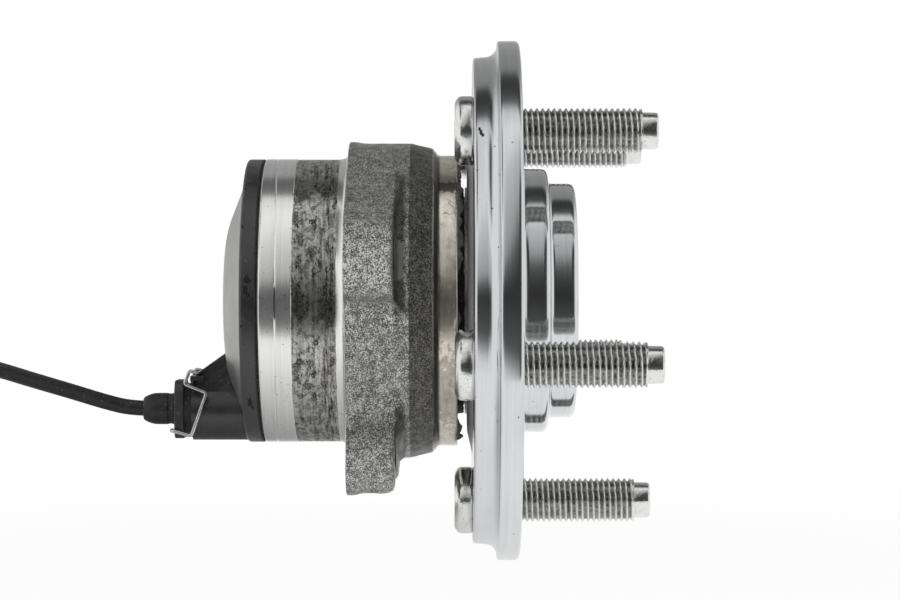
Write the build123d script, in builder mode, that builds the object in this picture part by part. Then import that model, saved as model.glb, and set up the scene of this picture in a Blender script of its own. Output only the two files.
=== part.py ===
from build123d import *

import os
from math import acos, asin, cos, degrees, hypot, pi, radians, sin, tan

# Non-driven wheel hub bearing with a plug-in wheel speed sensor lead. Millimetres.
# The hub turns about Y with the wheel side towards +Y, and +Z is up. The origin is the centre of the
# mounting face that meets the knuckle. Round sections are drawn with x = radius and y = axial place.

# --- Knuckle side of the outer ring -------------------------------------------------------------
pilot_r = 38.25  # body that enters the knuckle
pilot_length = 23.0
pilot_chamfer = 0.8
collar_step = 4.2  # shoulder that meets the knuckle, up to the forged collar
collar_width = 16.4
neck_step = 1.45  # fall of the forged slope from the collar to the neck
neck_end = 22.4
nose_step = 1.8  # from the neck down to the turned outboard end
nose_start = 23.9
nose_end = 29.0
seal_wall = 3.8
seal_bore_depth = 5.0
cap_wall = 3.35
cap_bore_depth = 4.6

# --- Bolting lobes ------------------------------------------------------------------------------
bolt_outset = 4.55  # from the collar out to the bolt circle
bolt_hole_r = 5.25  # tapped M12, drawn at the thread's inner radius
tap_run_out = 2.2  # how far the holes go on past the lobes, into the collar's side
lobe_r = 11.0
lobe_thickness = 12.7
lobe_blend_r = 9.0  # hollow between a lobe and the collar, below and between the lobes
lobe_edge_r = 2.0  # forged rounding of the outboard edge
lobe_edge_share = 0.7  # and at most this share of the flare's height
flare_share = 1.6216  # reach of the collar's flare into the lobes' outboard face, over its height
lobe_root_sink = 0.25  # how far the lobes' own ring lies inside the collar
upper_lobe_angle = 76.5  # from +Z towards +X, and the same again towards -X
lower_lobe_angle = 147.0

# --- Ball rows ----------------------------------------------------------------------------------
ball_r = 5.95
ball_depth = 9.75  # from the pilot's surface in to the balls' centres
cage_web = 1.6  # least width of cage between two balls
row_spacing = 26.0
row_centre = 4.5  # the middle between the rows
contact_angle = 38.0
groove_r = 6.15
ball_gap = 0.03
race_relief = 0.1
outer_land_rise = 2.8  # lands, shoulders and cages are measured from the balls' centres
shoulder_drop = 2.5
cage_inside = 1.4
cage_outside = 1.5
cage_rim = 1.7  # closed side of the cage, beyond the pockets
cage_horn = 3.2  # how far the horns reach past the balls' centres
pocket_gap = 0.15

# --- Hub ----------------------------------------------------------------------------------------
flange_gap = 4.1  # from the outer ring's nose to the flange
flange_thickness = 12.4
rim_margin = 16.0  # from the stud circle out to the rim
rim_thickness = 5.9
rim_edge_r = 1.1
rim_overhang = 4.3
web_cove_r = 2.6
boss_slope = 6.5  # radial width of the boss's tapered side
boss_height = 1.5
pilot_inset = 18.4  # from the stud circle in to the disc pilot
disc_pilot_length = 7.7
wheel_pilot_step = 3.95
wheel_pilot_length = 7.3
pilot_edge_r = 1.4
recess_wall = 4.45
recess_slope = 10.2
recess_depth = 22.0
seal_height = 7.9  # from the seal bore in to the hub's seal land
spindle_depth = 11.0  # from the balls' centres in to the spindle
inner_ring_width = 22.0
inner_ring_chamfer = 0.8
head_step = 4.0  # end of the spindle, rolled over the inner ring
head_height = 2.8
head_wall = 6.5
head_recess_depth = 4.0

# --- Wheel studs --------------------------------------------------------------------------------
stud_circle_r = 54.0
stud_count = 5
first_stud_angle = 35.45
stud_r = 5.95
stud_reach = 35.4  # from the wheel face to the tip
stud_point_r = 4.75
stud_point_length = 4.2
stud_point_edge = 0.5
shank_r = 6.25  # knurled part, pressed into the flange
stud_head_r = 9.0
stud_head_height = 4.9
stud_head_edge = 1.2
stud_head_slope = 2.0
stud_head_gap = 3.1  # from a stud's head to the boss

# --- Outboard seal ------------------------------------------------------------------------------
sheet = 0.6  # pressed steel of the seal case, slinger and encoder carrier
seal_case_height = 4.4
slinger_length = 6.2
slinger_width = 3.1  # from the hub's seal land out to the slinger's rim
lip_gap = 0.35  # rubber lip to what turns inside it
lip_thickness = 1.6
lip_root_overlap = 1.6  # rubber over the seal case
lip_inset = 0.2  # from the slinger's rim in to the lip that runs on it

# --- Speed sensing ------------------------------------------------------------------------------
carrier_length = 3.1
encoder_step = 1.2  # from the inner ring's shoulder to the encoder ring
encoder_gap = 1.9  # from the encoder ring to the cap's bore
encoder_thickness = 0.9
air_gap = 0.7
finger_width = 11.0
finger_overlap = 1.6  # how far the sensor finger reaches in past the encoder ring
sensor_width = 5.0
sensor_height = 3.6
sensor_depth = 2.2

# --- Cap ----------------------------------------------------------------------------------------
gasket_thickness = 0.4
cap_ring_width = 4.0
cap_ring_step = 0.05
cap_ring_edge_r = 0.9
dome_sheet = 0.8
dome_slant = 17.4  # radial width of the dome's sloping part
dome_height = 6.4  # from the skirt's corner to the flat
dome_bend_r = 5.0
skirt_depth = 4.3  # how far the cap enters the outer ring

# --- Socket and plug, on an axis along Y below the hub axis -------------------------------------
socket_inset = 8.6  # from the cap ring's edge in to the socket's axis
socket_r = 8.1
socket_length = 15.0  # from the cap ring's outer face
socket_bore_r = 6.9
socket_bore_depth = 8.4
rib_top = 15.5  # heights over the socket's axis
rib_foot = 9.9
rib_foot_length = 13.8  # from the cap ring's outer face
rib_width = 12.6
lug_width = 3.3
lug_length = 3.7
lug_height = 1.2
lug_reach = 15.1
lug_top = 9.4
plug_rise = 0.35  # the plug's rear lies a little above the socket's axis
plug_neck_r = 6.5
plug_neck_length = 9.4
plug_flange_width = 15.4
plug_flange_height = 15.7
plug_flange_corner_r = 3.5
plug_flange_thickness = 2.5
plug_seal_r = 7.3
plug_seal_thickness = 2.1
boot_r = 4.25
boot_length = 9.0
boot_taper = 2.1
boot_end_r = 2.9
boot_plug_r = 3.0  # spigot of the boot inside the plug
boot_plug_depth = 1.5
pin_r = 0.4
pin_spread = 2.4  # from the socket's axis to a pin
pin_length = 8.5
pin_root = 2.6  # length of a pin held by the socket's floor
terminal_r = 1.1
terminal_length = 7.6
terminal_gap = 0.1

# --- Wire clip, as (y, z) corners of one arm, measured from its pivot ---------------------------
wire_r = 0.48
wire_bend_r = 0.75
wire_gap = 0.07
arm_x = 8.9
pivot_length = 13.0  # from the cap ring's outer face
pivot_height = 10.2  # over the socket's axis
arm_steps = [(0, 0), (-2.35, 0.65), (-3.7, -2.95), (2.2, -5.35), (-1.9, -16.85), (-7.25, -15.4)]
hook_reach = 3.4

# --- Lead ---------------------------------------------------------------------------------------
cable_r = 2.1
cable_gap = 0.05
cable_seat = 4.5  # length of cable inside the boot
cable_lead_out = 2.9  # straight stretch beyond the boot
cable_route = [
    (0.8, -66.0, -27.5),
    (4.2, -74.5, -24.6),
    (12.5, -84.0, -21.2),
    (23.0, -93.0, -17.6),
    (33.5, -101.5, -15.4),
    (44.0, -110.5, -17.6),
    (51.5, -119.0, -26.5),
    (55.5, -126.5, -40.0),
    (58.0, -134.0, -53.0),
    (59.5, -144.5, -63.0),
]
cable_landing = -158.0  # where the cable reaches the floor
tie_thickness = 0.6
tie_width = 3.6
tie_gap = 0.15  # round the coil's curved sides
coil_x = 34.8
coil_y = -181.0
coil_turn_r = 23.1
coil_overlap = 9.0  # cable and tail end this far short of the coil's middle line
tail_length = 38.0
tail_straight = 9.0  # level stretch at each end of the tail
tail_drop = 2.4
connector_length = 19.0
connector_width = 11.0
connector_height = 9.0
connector_corner_r = 2.0
connector_mouth = 6.4  # open depth in front of the contacts
connector_wall = 1.3
contact_r = 0.8
contact_length = 4.0
contact_spread = 2.0

# --- Places that follow from the sizes above ----------------------------------------------------
collar_r = pilot_r + collar_step
neck_r = collar_r - neck_step
nose_r = neck_r - nose_step
seal_bore_r = nose_r - seal_wall
cap_bore_r = pilot_r - cap_wall
bolt_circle_r = collar_r + bolt_outset

pitch_r = pilot_r - ball_depth
ball_count = int(pi / asin((ball_r + cage_web / 2) / pitch_r))
outer_land_r = pitch_r + outer_land_rise
shoulder_r = pitch_r - shoulder_drop
cage_inner_r = pitch_r - cage_inside
cage_outer_r = pitch_r + cage_outside
spindle_r = pitch_r - spindle_depth
head_r = spindle_r + head_step
head_recess_r = spindle_r - head_wall
outboard_row = row_centre + row_spacing / 2
inboard_row = row_centre - row_spacing / 2
groove_shift = groove_r - ball_r - ball_gap
shift_r = groove_shift * cos(radians(contact_angle))
shift_y = groove_shift * sin(radians(contact_angle))
outer_groove_r = pitch_r - shift_r
inner_groove_r = pitch_r + shift_r
race_bore_r = outer_groove_r + groove_r + race_relief
low_land_r = inner_groove_r - groove_r - race_relief

flange_back = nose_end + flange_gap
wheel_face = flange_back + flange_thickness
disc_pilot_end = wheel_face + disc_pilot_length
wheel_pilot_end = disc_pilot_end + wheel_pilot_length
boss_face = flange_back - boss_height
rim_r = stud_circle_r + rim_margin
web_r = rim_r - rim_overhang
boss_r = stud_circle_r - stud_head_r - stud_head_gap
boss_face_r = boss_r - boss_slope
disc_pilot_r = stud_circle_r - pilot_inset
wheel_pilot_r = disc_pilot_r - wheel_pilot_step
recess_mouth_r = wheel_pilot_r - recess_wall
recess_floor_r = recess_mouth_r - recess_slope
seal_land_r = seal_bore_r - seal_height
seal_case_inner_r = seal_bore_r - seal_case_height
slinger_outer_r = seal_land_r + slinger_width
lip_root_r = seal_case_inner_r + lip_root_overlap
ring_seat = row_centre
ring_end = ring_seat - inner_ring_width

ring_inboard = -pilot_length
cap_back = ring_inboard - gasket_thickness
cap_face = cap_back - cap_ring_width
dome_corner = cap_face + 0.6 * dome_sheet
dome_face = dome_corner - dome_height
skirt_end = ring_inboard + skirt_depth
encoder_back = ring_end - sheet
encoder_face = encoder_back - encoder_thickness
sensor_face = encoder_face - air_gap
encoder_inner_r = shoulder_r + encoder_step
encoder_outer_r = cap_bore_r - encoder_gap
finger_low_r = encoder_inner_r - finger_overlap
finger_high_r = encoder_outer_r
cap_ring_r = pilot_r - cap_ring_step
dome_flat_r = cap_bore_r - dome_slant

socket_z = socket_inset - cap_ring_r
socket_mouth = cap_face - socket_length
socket_floor = socket_mouth + socket_bore_depth
rib_foot_y = cap_face - rib_foot_length
plug_face = socket_mouth - plug_seal_thickness
plug_back = plug_face - plug_flange_thickness
plug_z = socket_z + plug_rise
boot_end = plug_back - boot_length
cable_start = boot_end + cable_seat
clip_pivot = (cap_face - pivot_length, socket_z + pivot_height)
clip_places = [(clip_pivot[0] + dy, clip_pivot[1] + dz) for dy, dz in arm_steps]

floor_z = -rim_r  # the lead's spare length lies level with the rim
coil_low = floor_z + tie_thickness + cable_r
coil_high = coil_low + 2 * cable_r
cable_x = coil_x + coil_turn_r + cable_r
tail_x = coil_x - coil_turn_r - cable_r
cable_end = coil_y + coil_overlap
tail_end = coil_y + tail_length
connector_z = coil_high - tail_drop


def corner(section, r, y):
    """The corner of a round section nearest to radius r and axial place y."""
    return section.vertices().sort_by_distance((r, y))[0]


def is_lobe_rim(edge):
    """True for an edge round the outboard side of the lobes: it changes its distance from the hub axis."""
    radii = [hypot(point.X, point.Z) for point in (edge @ 0, edge @ 0.5, edge @ 1)]
    low = edge.bounding_box().min.Y
    return lobe_thickness - 0.1 < low < collar_width - 0.1 and max(radii) - min(radii) > 0.01


def tube_path(points):
    """A path of straight runs joined by arcs as large as their two runs allow."""
    corners = [Vector(*p) for p in points]
    radii = []
    for before, at, after in zip(corners, corners[1:], corners[2:]):
        turn = radians((at - before).get_angle(after - at))
        shorter = min((at - before).length, (after - at).length)
        radii.append(0.45 * shorter / tan(turn / 2))
    print("bend radii:", [round(r, 1) for r in radii])
    return FilletPolyline(*corners, radius=radii)


os.makedirs("parts", exist_ok=True)

# --- Outer ring: forged and turned, with four tapped lobes --------------------------------------
lobe_angles = (upper_lobe_angle, lower_lobe_angle, -lower_lobe_angle, -upper_lobe_angle)
lobe_root_r = collar_r - lobe_root_sink
crown_angle = upper_lobe_angle - degrees(acos((lobe_root_r - lobe_r) / bolt_circle_r))
flare_height = collar_width - lobe_thickness
flare_r = collar_r + flare_share * flare_height
waste_r = bolt_circle_r + lobe_r + 1
with BuildPart() as lobe_plate:
    with BuildSketch(Plane.ZX):
        Circle(lobe_root_r)
        for angle in lobe_angles:
            with PolarLocations(bolt_circle_r, 1, start_angle=angle):
                Circle(lobe_r)
        for side in (1, -1):
            root_touch = Vector(lobe_root_r, 0).rotate(Axis.Z, side * crown_angle)
            lobe_centre = Vector(bolt_circle_r, 0).rotate(Axis.Z, side * upper_lobe_angle)
            lobe_touch = lobe_centre + Vector(lobe_r, 0).rotate(Axis.Z, side * crown_angle)
            with BuildLine():
                Polyline((0, 0), root_touch, lobe_touch, lobe_centre, close=True)
            make_face()
    extrude(amount=collar_width)
    uprights = lobe_plate.edges().filter_by(Axis.Y).sort_by(Axis.Z)
    straight_ends = 4  # where the two straight flanks touch the circles, the highest of the uprights
    fillet(uprights[:-straight_ends], radius=lobe_blend_r)
    with BuildSketch():
        with BuildLine():
            Line((collar_r, collar_width), (waste_r, collar_width))
            Line((waste_r, collar_width), (waste_r, lobe_thickness))
            Line((waste_r, lobe_thickness), (flare_r, lobe_thickness))
            TangentArc((flare_r, lobe_thickness), (collar_r, collar_width), tangent=(-1, 0))
        make_face()
    revolve(axis=Axis.Y, mode=Mode.SUBTRACT)
    lobe_rounding = min(lobe_edge_r, lobe_edge_share * flare_height)
    fillet(lobe_plate.edges().filter_by(is_lobe_rim), radius=lobe_rounding)
    with BuildSketch(Plane.ZX):
        Circle(pilot_r - 1)
    extrude(amount=collar_width, mode=Mode.SUBTRACT)

with BuildPart() as outer_ring:
    with BuildSketch() as ring_section:
        with BuildLine():
            Polyline(
                (pilot_r, ring_inboard),
                (pilot_r, 0),
                (collar_r, 0),
                (collar_r, collar_width),
                (neck_r, neck_end),
                (nose_r, nose_start),
                (nose_r, nose_end),
                (seal_bore_r, nose_end),
                (seal_bore_r, nose_end - seal_bore_depth),
                (race_bore_r, nose_end - seal_bore_depth),
                (race_bore_r, outboard_row + shift_y),
                (outer_land_r, outboard_row + shift_y),
                (outer_land_r, inboard_row - shift_y),
                (race_bore_r, inboard_row - shift_y),
                (race_bore_r, ring_inboard + cap_bore_depth),
                (cap_bore_r, ring_inboard + cap_bore_depth),
                (cap_bore_r, ring_inboard),
                close=True,
            )
        make_face()
        chamfer(corner(ring_section, pilot_r, ring_inboard), length=pilot_chamfer)
        with Locations((outer_groove_r, outboard_row + shift_y), (outer_groove_r, inboard_row - shift_y)):
            Circle(groove_r, mode=Mode.SUBTRACT)
    revolve(axis=Axis.Y)
    add(lobe_plate.part)
    with BuildSketch(Plane.ZX):
        for angle in lobe_angles:
            with PolarLocations(bolt_circle_r, 1, start_angle=angle):
                Circle(bolt_hole_r)
    extrude(amount=lobe_thickness + tap_run_out, mode=Mode.SUBTRACT)
outer_ring.part.label = "outer_ring"
export_step(outer_ring.part, "parts/outer_ring.step")

# --- Hub: flange, pilots and spindle in one forging, with the outboard inner raceway ------------
with BuildPart() as hub_flange:
    with BuildSketch() as hub_section:
        with BuildLine():
            Polyline(
                (0, wheel_pilot_end - recess_depth),
                (recess_floor_r, wheel_pilot_end - recess_depth),
                (recess_mouth_r, wheel_pilot_end),
                (wheel_pilot_r, wheel_pilot_end),
                (wheel_pilot_r, disc_pilot_end),
                (disc_pilot_r, disc_pilot_end),
                (disc_pilot_r, wheel_face),
                (rim_r, wheel_face),
                (rim_r, wheel_face - rim_thickness),
                (web_r, wheel_face - rim_thickness),
                (web_r, flange_back),
                (boss_r, flange_back),
                (boss_face_r, boss_face),
                (seal_land_r, boss_face),
                (seal_land_r, boss_face - slinger_length),
                (shoulder_r, boss_face - slinger_length),
                (shoulder_r, outboard_row - shift_y),
                (low_land_r, outboard_row - shift_y),
                (low_land_r, ring_seat),
                (spindle_r, ring_seat),
                (spindle_r, ring_end),
                (head_r, ring_end),
                (head_r, ring_end - head_height),
                (head_recess_r, ring_end - head_height),
                (head_recess_r, ring_end - head_height + head_recess_depth),
                (0, ring_end - head_height + head_recess_depth),
                close=True,
            )
        make_face()
        fillet(corner(hub_section, web_r, wheel_face - rim_thickness), radius=web_cove_r)
        fillet(corner(hub_section, rim_r, wheel_face), radius=rim_edge_r)
        fillet(corner(hub_section, rim_r, wheel_face - rim_thickness), radius=rim_edge_r)
        fillet(corner(hub_section, disc_pilot_r, disc_pilot_end), radius=pilot_edge_r)
        fillet(corner(hub_section, wheel_pilot_r, wheel_pilot_end), radius=pilot_edge_r)
        chamfer(corner(hub_section, head_r, ring_end - head_height), length=head_height / 2)
        with Locations((inner_groove_r, outboard_row - shift_y)):
            Circle(groove_r, mode=Mode.SUBTRACT)
    revolve(axis=Axis.Y)
    with BuildSketch(Plane.ZX.offset(flange_back)):
        with PolarLocations(stud_circle_r, stud_count, start_angle=first_stud_angle):
            Circle(shank_r)
    extrude(amount=flange_thickness, mode=Mode.SUBTRACT)
hub_flange.part.label = "hub_flange"
export_step(hub_flange.part, "parts/hub_flange.step")

# --- Inner ring: pressed on the spindle, with the inboard inner raceway -------------------------
with BuildPart() as inner_ring:
    with BuildSketch() as inner_section:
        with BuildLine():
            Polyline(
                (spindle_r, ring_seat),
                (low_land_r, ring_seat),
                (low_land_r, inboard_row + shift_y),
                (shoulder_r, inboard_row + shift_y),
                (shoulder_r, ring_end),
                (spindle_r, ring_end),
                close=True,
            )
        make_face()
        chamfer(corner(inner_section, spindle_r, ring_seat), length=inner_ring_chamfer)
        with Locations((inner_groove_r, inboard_row + shift_y)):
            Circle(groove_r, mode=Mode.SUBTRACT)
    revolve(axis=Axis.Y)
inner_ring.part.label = "inner_ring"
export_step(inner_ring.part, "parts/inner_ring.step")

# --- Wheel studs: one stud drawn along its own Z, then set in the flange ------------------------
stud_tip = wheel_face + stud_reach
with BuildPart() as stud:
    with BuildSketch(Plane.XZ) as stud_section:
        with BuildLine():
            Polyline(
                (0, flange_back - stud_head_height),
                (stud_head_r - stud_head_edge, flange_back - stud_head_height),
                (stud_head_r, flange_back - stud_head_height + stud_head_slope),
                (stud_head_r, flange_back),
                (shank_r, flange_back),
                (shank_r, wheel_face),
                (stud_r, wheel_face),
                (stud_r, stud_tip - stud_point_length - (stud_r - stud_point_r) / 2),
                (stud_point_r, stud_tip - stud_point_length),
                (stud_point_r, stud_tip),
                (0, stud_tip),
                close=True,
            )
        make_face()
        chamfer(corner(stud_section, stud_point_r, stud_tip), length=stud_point_edge)
    revolve(axis=Axis.Z)

with BuildPart(Plane.ZX) as wheel_studs:
    with PolarLocations(stud_circle_r, stud_count, start_angle=first_stud_angle):
        add(stud.part)
wheel_studs.part.label = "wheel_studs"
export_step(wheel_studs.part, "parts/wheel_studs.step")

# --- Balls --------------------------------------------------------------------------------------
with BuildPart(Plane.ZX.offset(outboard_row)) as outboard_balls:
    with PolarLocations(pitch_r, ball_count):
        Sphere(ball_r)
outboard_balls.part.label = "outboard_balls"
export_step(outboard_balls.part, "parts/outboard_balls.step")

with BuildPart(Plane.ZX.offset(inboard_row)) as inboard_balls:
    with PolarLocations(pitch_r, ball_count):
        Sphere(ball_r)
inboard_balls.part.label = "inboard_balls"
export_step(inboard_balls.part, "parts/inboard_balls.step")

# --- Cages: open-sided pockets, rims towards the middle of the bearing --------------------------
pocket_r = ball_r + pocket_gap
cage_width = pocket_r + cage_rim + cage_horn
with BuildPart() as cage:
    with BuildSketch():
        Circle(cage_outer_r)
        Circle(cage_inner_r, mode=Mode.SUBTRACT)
    extrude(amount=cage_width)
    with Locations((0, 0, cage_rim + pocket_r)):
        with PolarLocations(pitch_r, ball_count):
            Cylinder(pocket_r, 2 * (cage_outer_r - cage_inner_r), rotation=(0, 90, 0), mode=Mode.SUBTRACT)

with BuildPart(Plane.ZX.offset(outboard_row - pocket_r - cage_rim)) as outboard_cage:
    add(cage.part)
outboard_cage.part.label = "outboard_cage"
export_step(outboard_cage.part, "parts/outboard_cage.step")

with BuildPart(Plane.ZX.offset(outboard_row - pocket_r - cage_rim)) as inboard_cage:
    add(cage.part)
    mirror(about=Plane.ZX.offset(row_centre), mode=Mode.REPLACE)
inboard_cage.part.label = "inboard_cage"
export_step(inboard_cage.part, "parts/inboard_cage.step")

# --- Outboard seal: a case in the outer ring, its rubber lips and the slinger they run on -------
case_face = nose_end - seal_bore_depth
with BuildPart() as seal_case:
    with BuildSketch():
        with BuildLine():
            Polyline(
                (seal_bore_r, nose_end - sheet),
                (seal_bore_r, case_face),
                (seal_case_inner_r, case_face),
                (seal_case_inner_r, case_face + sheet),
                (seal_bore_r - sheet, case_face + sheet),
                (seal_bore_r - sheet, nose_end - sheet),
                close=True,
            )
        make_face()
    revolve(axis=Axis.Y)
seal_case.part.label = "seal_case"
export_step(seal_case.part, "parts/seal_case.step")

lip_r = seal_land_r + sheet + lip_gap
lip_end = boss_face - sheet - lip_gap
with BuildPart() as seal_lip:
    with BuildSketch():
        with BuildLine():
            Polyline(
                (lip_r, case_face),
                (seal_case_inner_r, case_face),
                (seal_case_inner_r, case_face + sheet),
                (lip_root_r, case_face + sheet),
                (lip_root_r, case_face + lip_thickness),
                (seal_case_inner_r, case_face + lip_thickness),
                (slinger_outer_r - lip_inset, lip_end),
                (slinger_outer_r - lip_inset - lip_thickness / 2, lip_end),
                (seal_case_inner_r - lip_thickness, case_face + lip_thickness),
                close=True,
            )
        make_face()
    revolve(axis=Axis.Y)
seal_lip.part.label = "seal_lip"
export_step(seal_lip.part, "parts/seal_lip.step")

with BuildPart() as seal_slinger:
    with BuildSketch():
        with BuildLine():
            Polyline(
                (seal_land_r, boss_face - slinger_length),
                (seal_land_r + sheet, boss_face - slinger_length),
                (seal_land_r + sheet, boss_face - sheet),
                (slinger_outer_r, boss_face - sheet),
                (slinger_outer_r, boss_face),
                (seal_land_r, boss_face),
                close=True,
            )
        make_face()
    revolve(axis=Axis.Y)
seal_slinger.part.label = "seal_slinger"
export_step(seal_slinger.part, "parts/seal_slinger.step")

# --- Encoder: a magnetised rubber ring on a carrier pressed over the inner ring -----------------
with BuildPart() as encoder_carrier:
    with BuildSketch():
        with BuildLine():
            Polyline(
                (shoulder_r, ring_end + carrier_length),
                (shoulder_r + sheet, ring_end + carrier_length),
                (shoulder_r + sheet, ring_end),
                (encoder_outer_r, ring_end),
                (encoder_outer_r, encoder_back),
                (shoulder_r, encoder_back),
                close=True,
            )
        make_face()
    revolve(axis=Axis.Y)
encoder_carrier.part.label = "encoder_carrier"
export_step(encoder_carrier.part, "parts/encoder_carrier.step")

with BuildPart() as encoder_ring:
    with BuildSketch(Plane.ZX.offset(encoder_face)):
        Circle(encoder_outer_r)
        Circle(encoder_inner_r, mode=Mode.SUBTRACT)
    extrude(amount=encoder_thickness)
encoder_ring.part.label = "encoder_ring"
export_step(encoder_ring.part, "parts/encoder_ring.step")

# --- Cap: a pressed dome that enters the outer ring, moulded round with ring and socket ---------
skirt_inner_r = cap_bore_r - dome_sheet
with BuildPart() as dome_envelope:
    with BuildSketch() as envelope_section:
        with BuildLine():
            Polyline(
                (0, skirt_end),
                (0, dome_face),
                (dome_flat_r, dome_face),
                (cap_bore_r, dome_corner),
                (cap_bore_r, skirt_end),
                close=True,
            )
        make_face()
        fillet(corner(envelope_section, dome_flat_r, dome_face), radius=dome_bend_r)
    revolve(axis=Axis.Y)

with BuildPart() as cap_dome:
    add(dome_envelope.part)
    with BuildSketch() as hollow_section:
        with BuildLine():
            Polyline(
                (0, skirt_end),
                (0, dome_face + dome_sheet),
                (dome_flat_r, dome_face + dome_sheet),
                (skirt_inner_r, dome_corner + dome_sheet),
                (skirt_inner_r, skirt_end),
                close=True,
            )
        make_face()
        fillet(corner(hollow_section, dome_flat_r, dome_face + dome_sheet), radius=dome_bend_r - dome_sheet)
    revolve(axis=Axis.Y, mode=Mode.SUBTRACT)
    with BuildSketch(Plane.ZX.offset(dome_face)):
        with Locations((-(finger_low_r + finger_high_r) / 2, 0)):
            Rectangle(finger_high_r - finger_low_r, finger_width)
    extrude(amount=dome_height + dome_sheet, mode=Mode.SUBTRACT)
cap_dome.part.label = "cap_dome"
export_step(cap_dome.part, "parts/cap_dome.step")

finger_z = -(finger_low_r + finger_high_r) / 2
pin_places = [(socket_z, pin_spread), (socket_z, -pin_spread)]
with BuildPart() as cap_body:
    with BuildSketch() as cap_section:
        with BuildLine():
            Polyline(
                (dome_flat_r, cap_back),
                (cap_ring_r, cap_back),
                (cap_ring_r, cap_face),
                (dome_flat_r, cap_face),
                close=True,
            )
        make_face()
        fillet(corner(cap_section, cap_ring_r, cap_face), radius=cap_ring_edge_r)
    revolve(axis=Axis.Y)
    with BuildSketch(Plane.ZX.offset(socket_mouth)):
        with Locations((socket_z, 0)):
            Circle(socket_r)
    extrude(amount=socket_length + cap_ring_width / 2)
    with BuildSketch(Plane.YZ):
        with BuildLine():
            Polyline(
                (rib_foot_y, socket_z),
                (rib_foot_y, socket_z + rib_foot),
                (dome_face, socket_z + rib_top),
                (cap_face, socket_z + rib_top),
                (cap_face, socket_z),
                close=True,
            )
        make_face()
    extrude(amount=rib_width / 2, both=True)
    with Locations((0, cap_face - lug_reach + lug_length / 2, socket_z + lug_top - lug_height / 2)):
        Box(rib_width + 2 * lug_width, lug_length, lug_height)
    add(dome_envelope.part, mode=Mode.SUBTRACT)
    with BuildSketch(Plane.ZX.offset(sensor_face)):
        with Locations((finger_z, 0)):
            Rectangle(finger_high_r - finger_low_r, finger_width)
    extrude(amount=dome_face - sensor_face)
    with BuildSketch(Plane.ZX.offset(sensor_face)):
        with Locations((finger_z, 0)):
            Rectangle(sensor_height, sensor_width)
    extrude(amount=-sensor_depth, mode=Mode.SUBTRACT)
    with BuildSketch(Plane.ZX.offset(socket_mouth)):
        with Locations((socket_z, 0)):
            Circle(socket_bore_r)
    extrude(amount=socket_bore_depth, mode=Mode.SUBTRACT)
    with BuildSketch(Plane.ZX.offset(socket_floor)):
        with Locations(pin_places):
            Circle(pin_r)
    extrude(amount=pin_root, mode=Mode.SUBTRACT)
    with Locations((0, *clip_pivot)):
        Cylinder(wire_r + wire_gap, 2 * arm_x, rotation=(0, 90, 0), mode=Mode.SUBTRACT)
cap_body.part.label = "cap_body"
export_step(cap_body.part, "parts/cap_body.step")

with BuildPart() as cap_gasket:
    with BuildSketch(Plane.ZX.offset(cap_back)):
        Circle(cap_ring_r)
        Circle(cap_bore_r, mode=Mode.SUBTRACT)
    extrude(amount=gasket_thickness)
cap_gasket.part.label = "cap_gasket"
export_step(cap_gasket.part, "parts/cap_gasket.step")

with BuildPart() as sensor_element:
    with BuildSketch(Plane.ZX.offset(sensor_face)):
        with Locations((finger_z, 0)):
            Rectangle(sensor_height, sensor_width)
    extrude(amount=-sensor_depth)
sensor_element.part.label = "sensor_element"
export_step(sensor_element.part, "parts/sensor_element.step")

with BuildPart() as socket_pins:
    with BuildSketch(Plane.ZX.offset(socket_floor + pin_root)):
        with Locations(pin_places):
            Circle(pin_r)
    extrude(amount=-pin_length)
socket_pins.part.label = "socket_pins"
export_step(socket_pins.part, "parts/socket_pins.step")

# --- Plug: neck in the socket, flange under the clip, boot over the cable -----------------------
neck_end_y = plug_face + plug_neck_length
terminal_start = neck_end_y - terminal_length
with BuildPart() as plug_housing:
    with BuildSketch(Plane.ZX.offset(plug_face)):
        with Locations((socket_z, 0)):
            Circle(plug_neck_r)
    extrude(amount=plug_neck_length)
    with BuildSketch(Plane.ZX.offset(plug_back)):
        with Locations((plug_z, 0)):
            RectangleRounded(plug_flange_height, plug_flange_width, plug_flange_corner_r)
    extrude(amount=plug_flange_thickness)
    with BuildSketch(Plane.ZX.offset(plug_back)):
        with Locations((plug_z, 0)):
            Circle(boot_plug_r)
    extrude(amount=boot_plug_depth, mode=Mode.SUBTRACT)
    with BuildSketch(Plane.ZX.offset(neck_end_y)):
        with Locations(pin_places):
            Circle(terminal_r)
    extrude(amount=-terminal_length, mode=Mode.SUBTRACT)
plug_housing.part.label = "plug_housing"
export_step(plug_housing.part, "parts/plug_housing.step")

with BuildPart() as plug_terminals:
    with BuildSketch(Plane.ZX.offset(terminal_start)):
        with Locations(pin_places):
            Circle(terminal_r)
            Circle(pin_r + terminal_gap, mode=Mode.SUBTRACT)
    extrude(amount=terminal_length)
plug_terminals.part.label = "plug_terminals"
export_step(plug_terminals.part, "parts/plug_terminals.step")

with BuildPart() as plug_seal:
    with BuildSketch(Plane.ZX.offset(plug_face)):
        with Locations((socket_z, 0)):
            Circle(plug_seal_r)
            Circle(plug_neck_r, mode=Mode.SUBTRACT)
    extrude(amount=plug_seal_thickness)
plug_seal.part.label = "plug_seal"
export_step(plug_seal.part, "parts/plug_seal.step")

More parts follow.
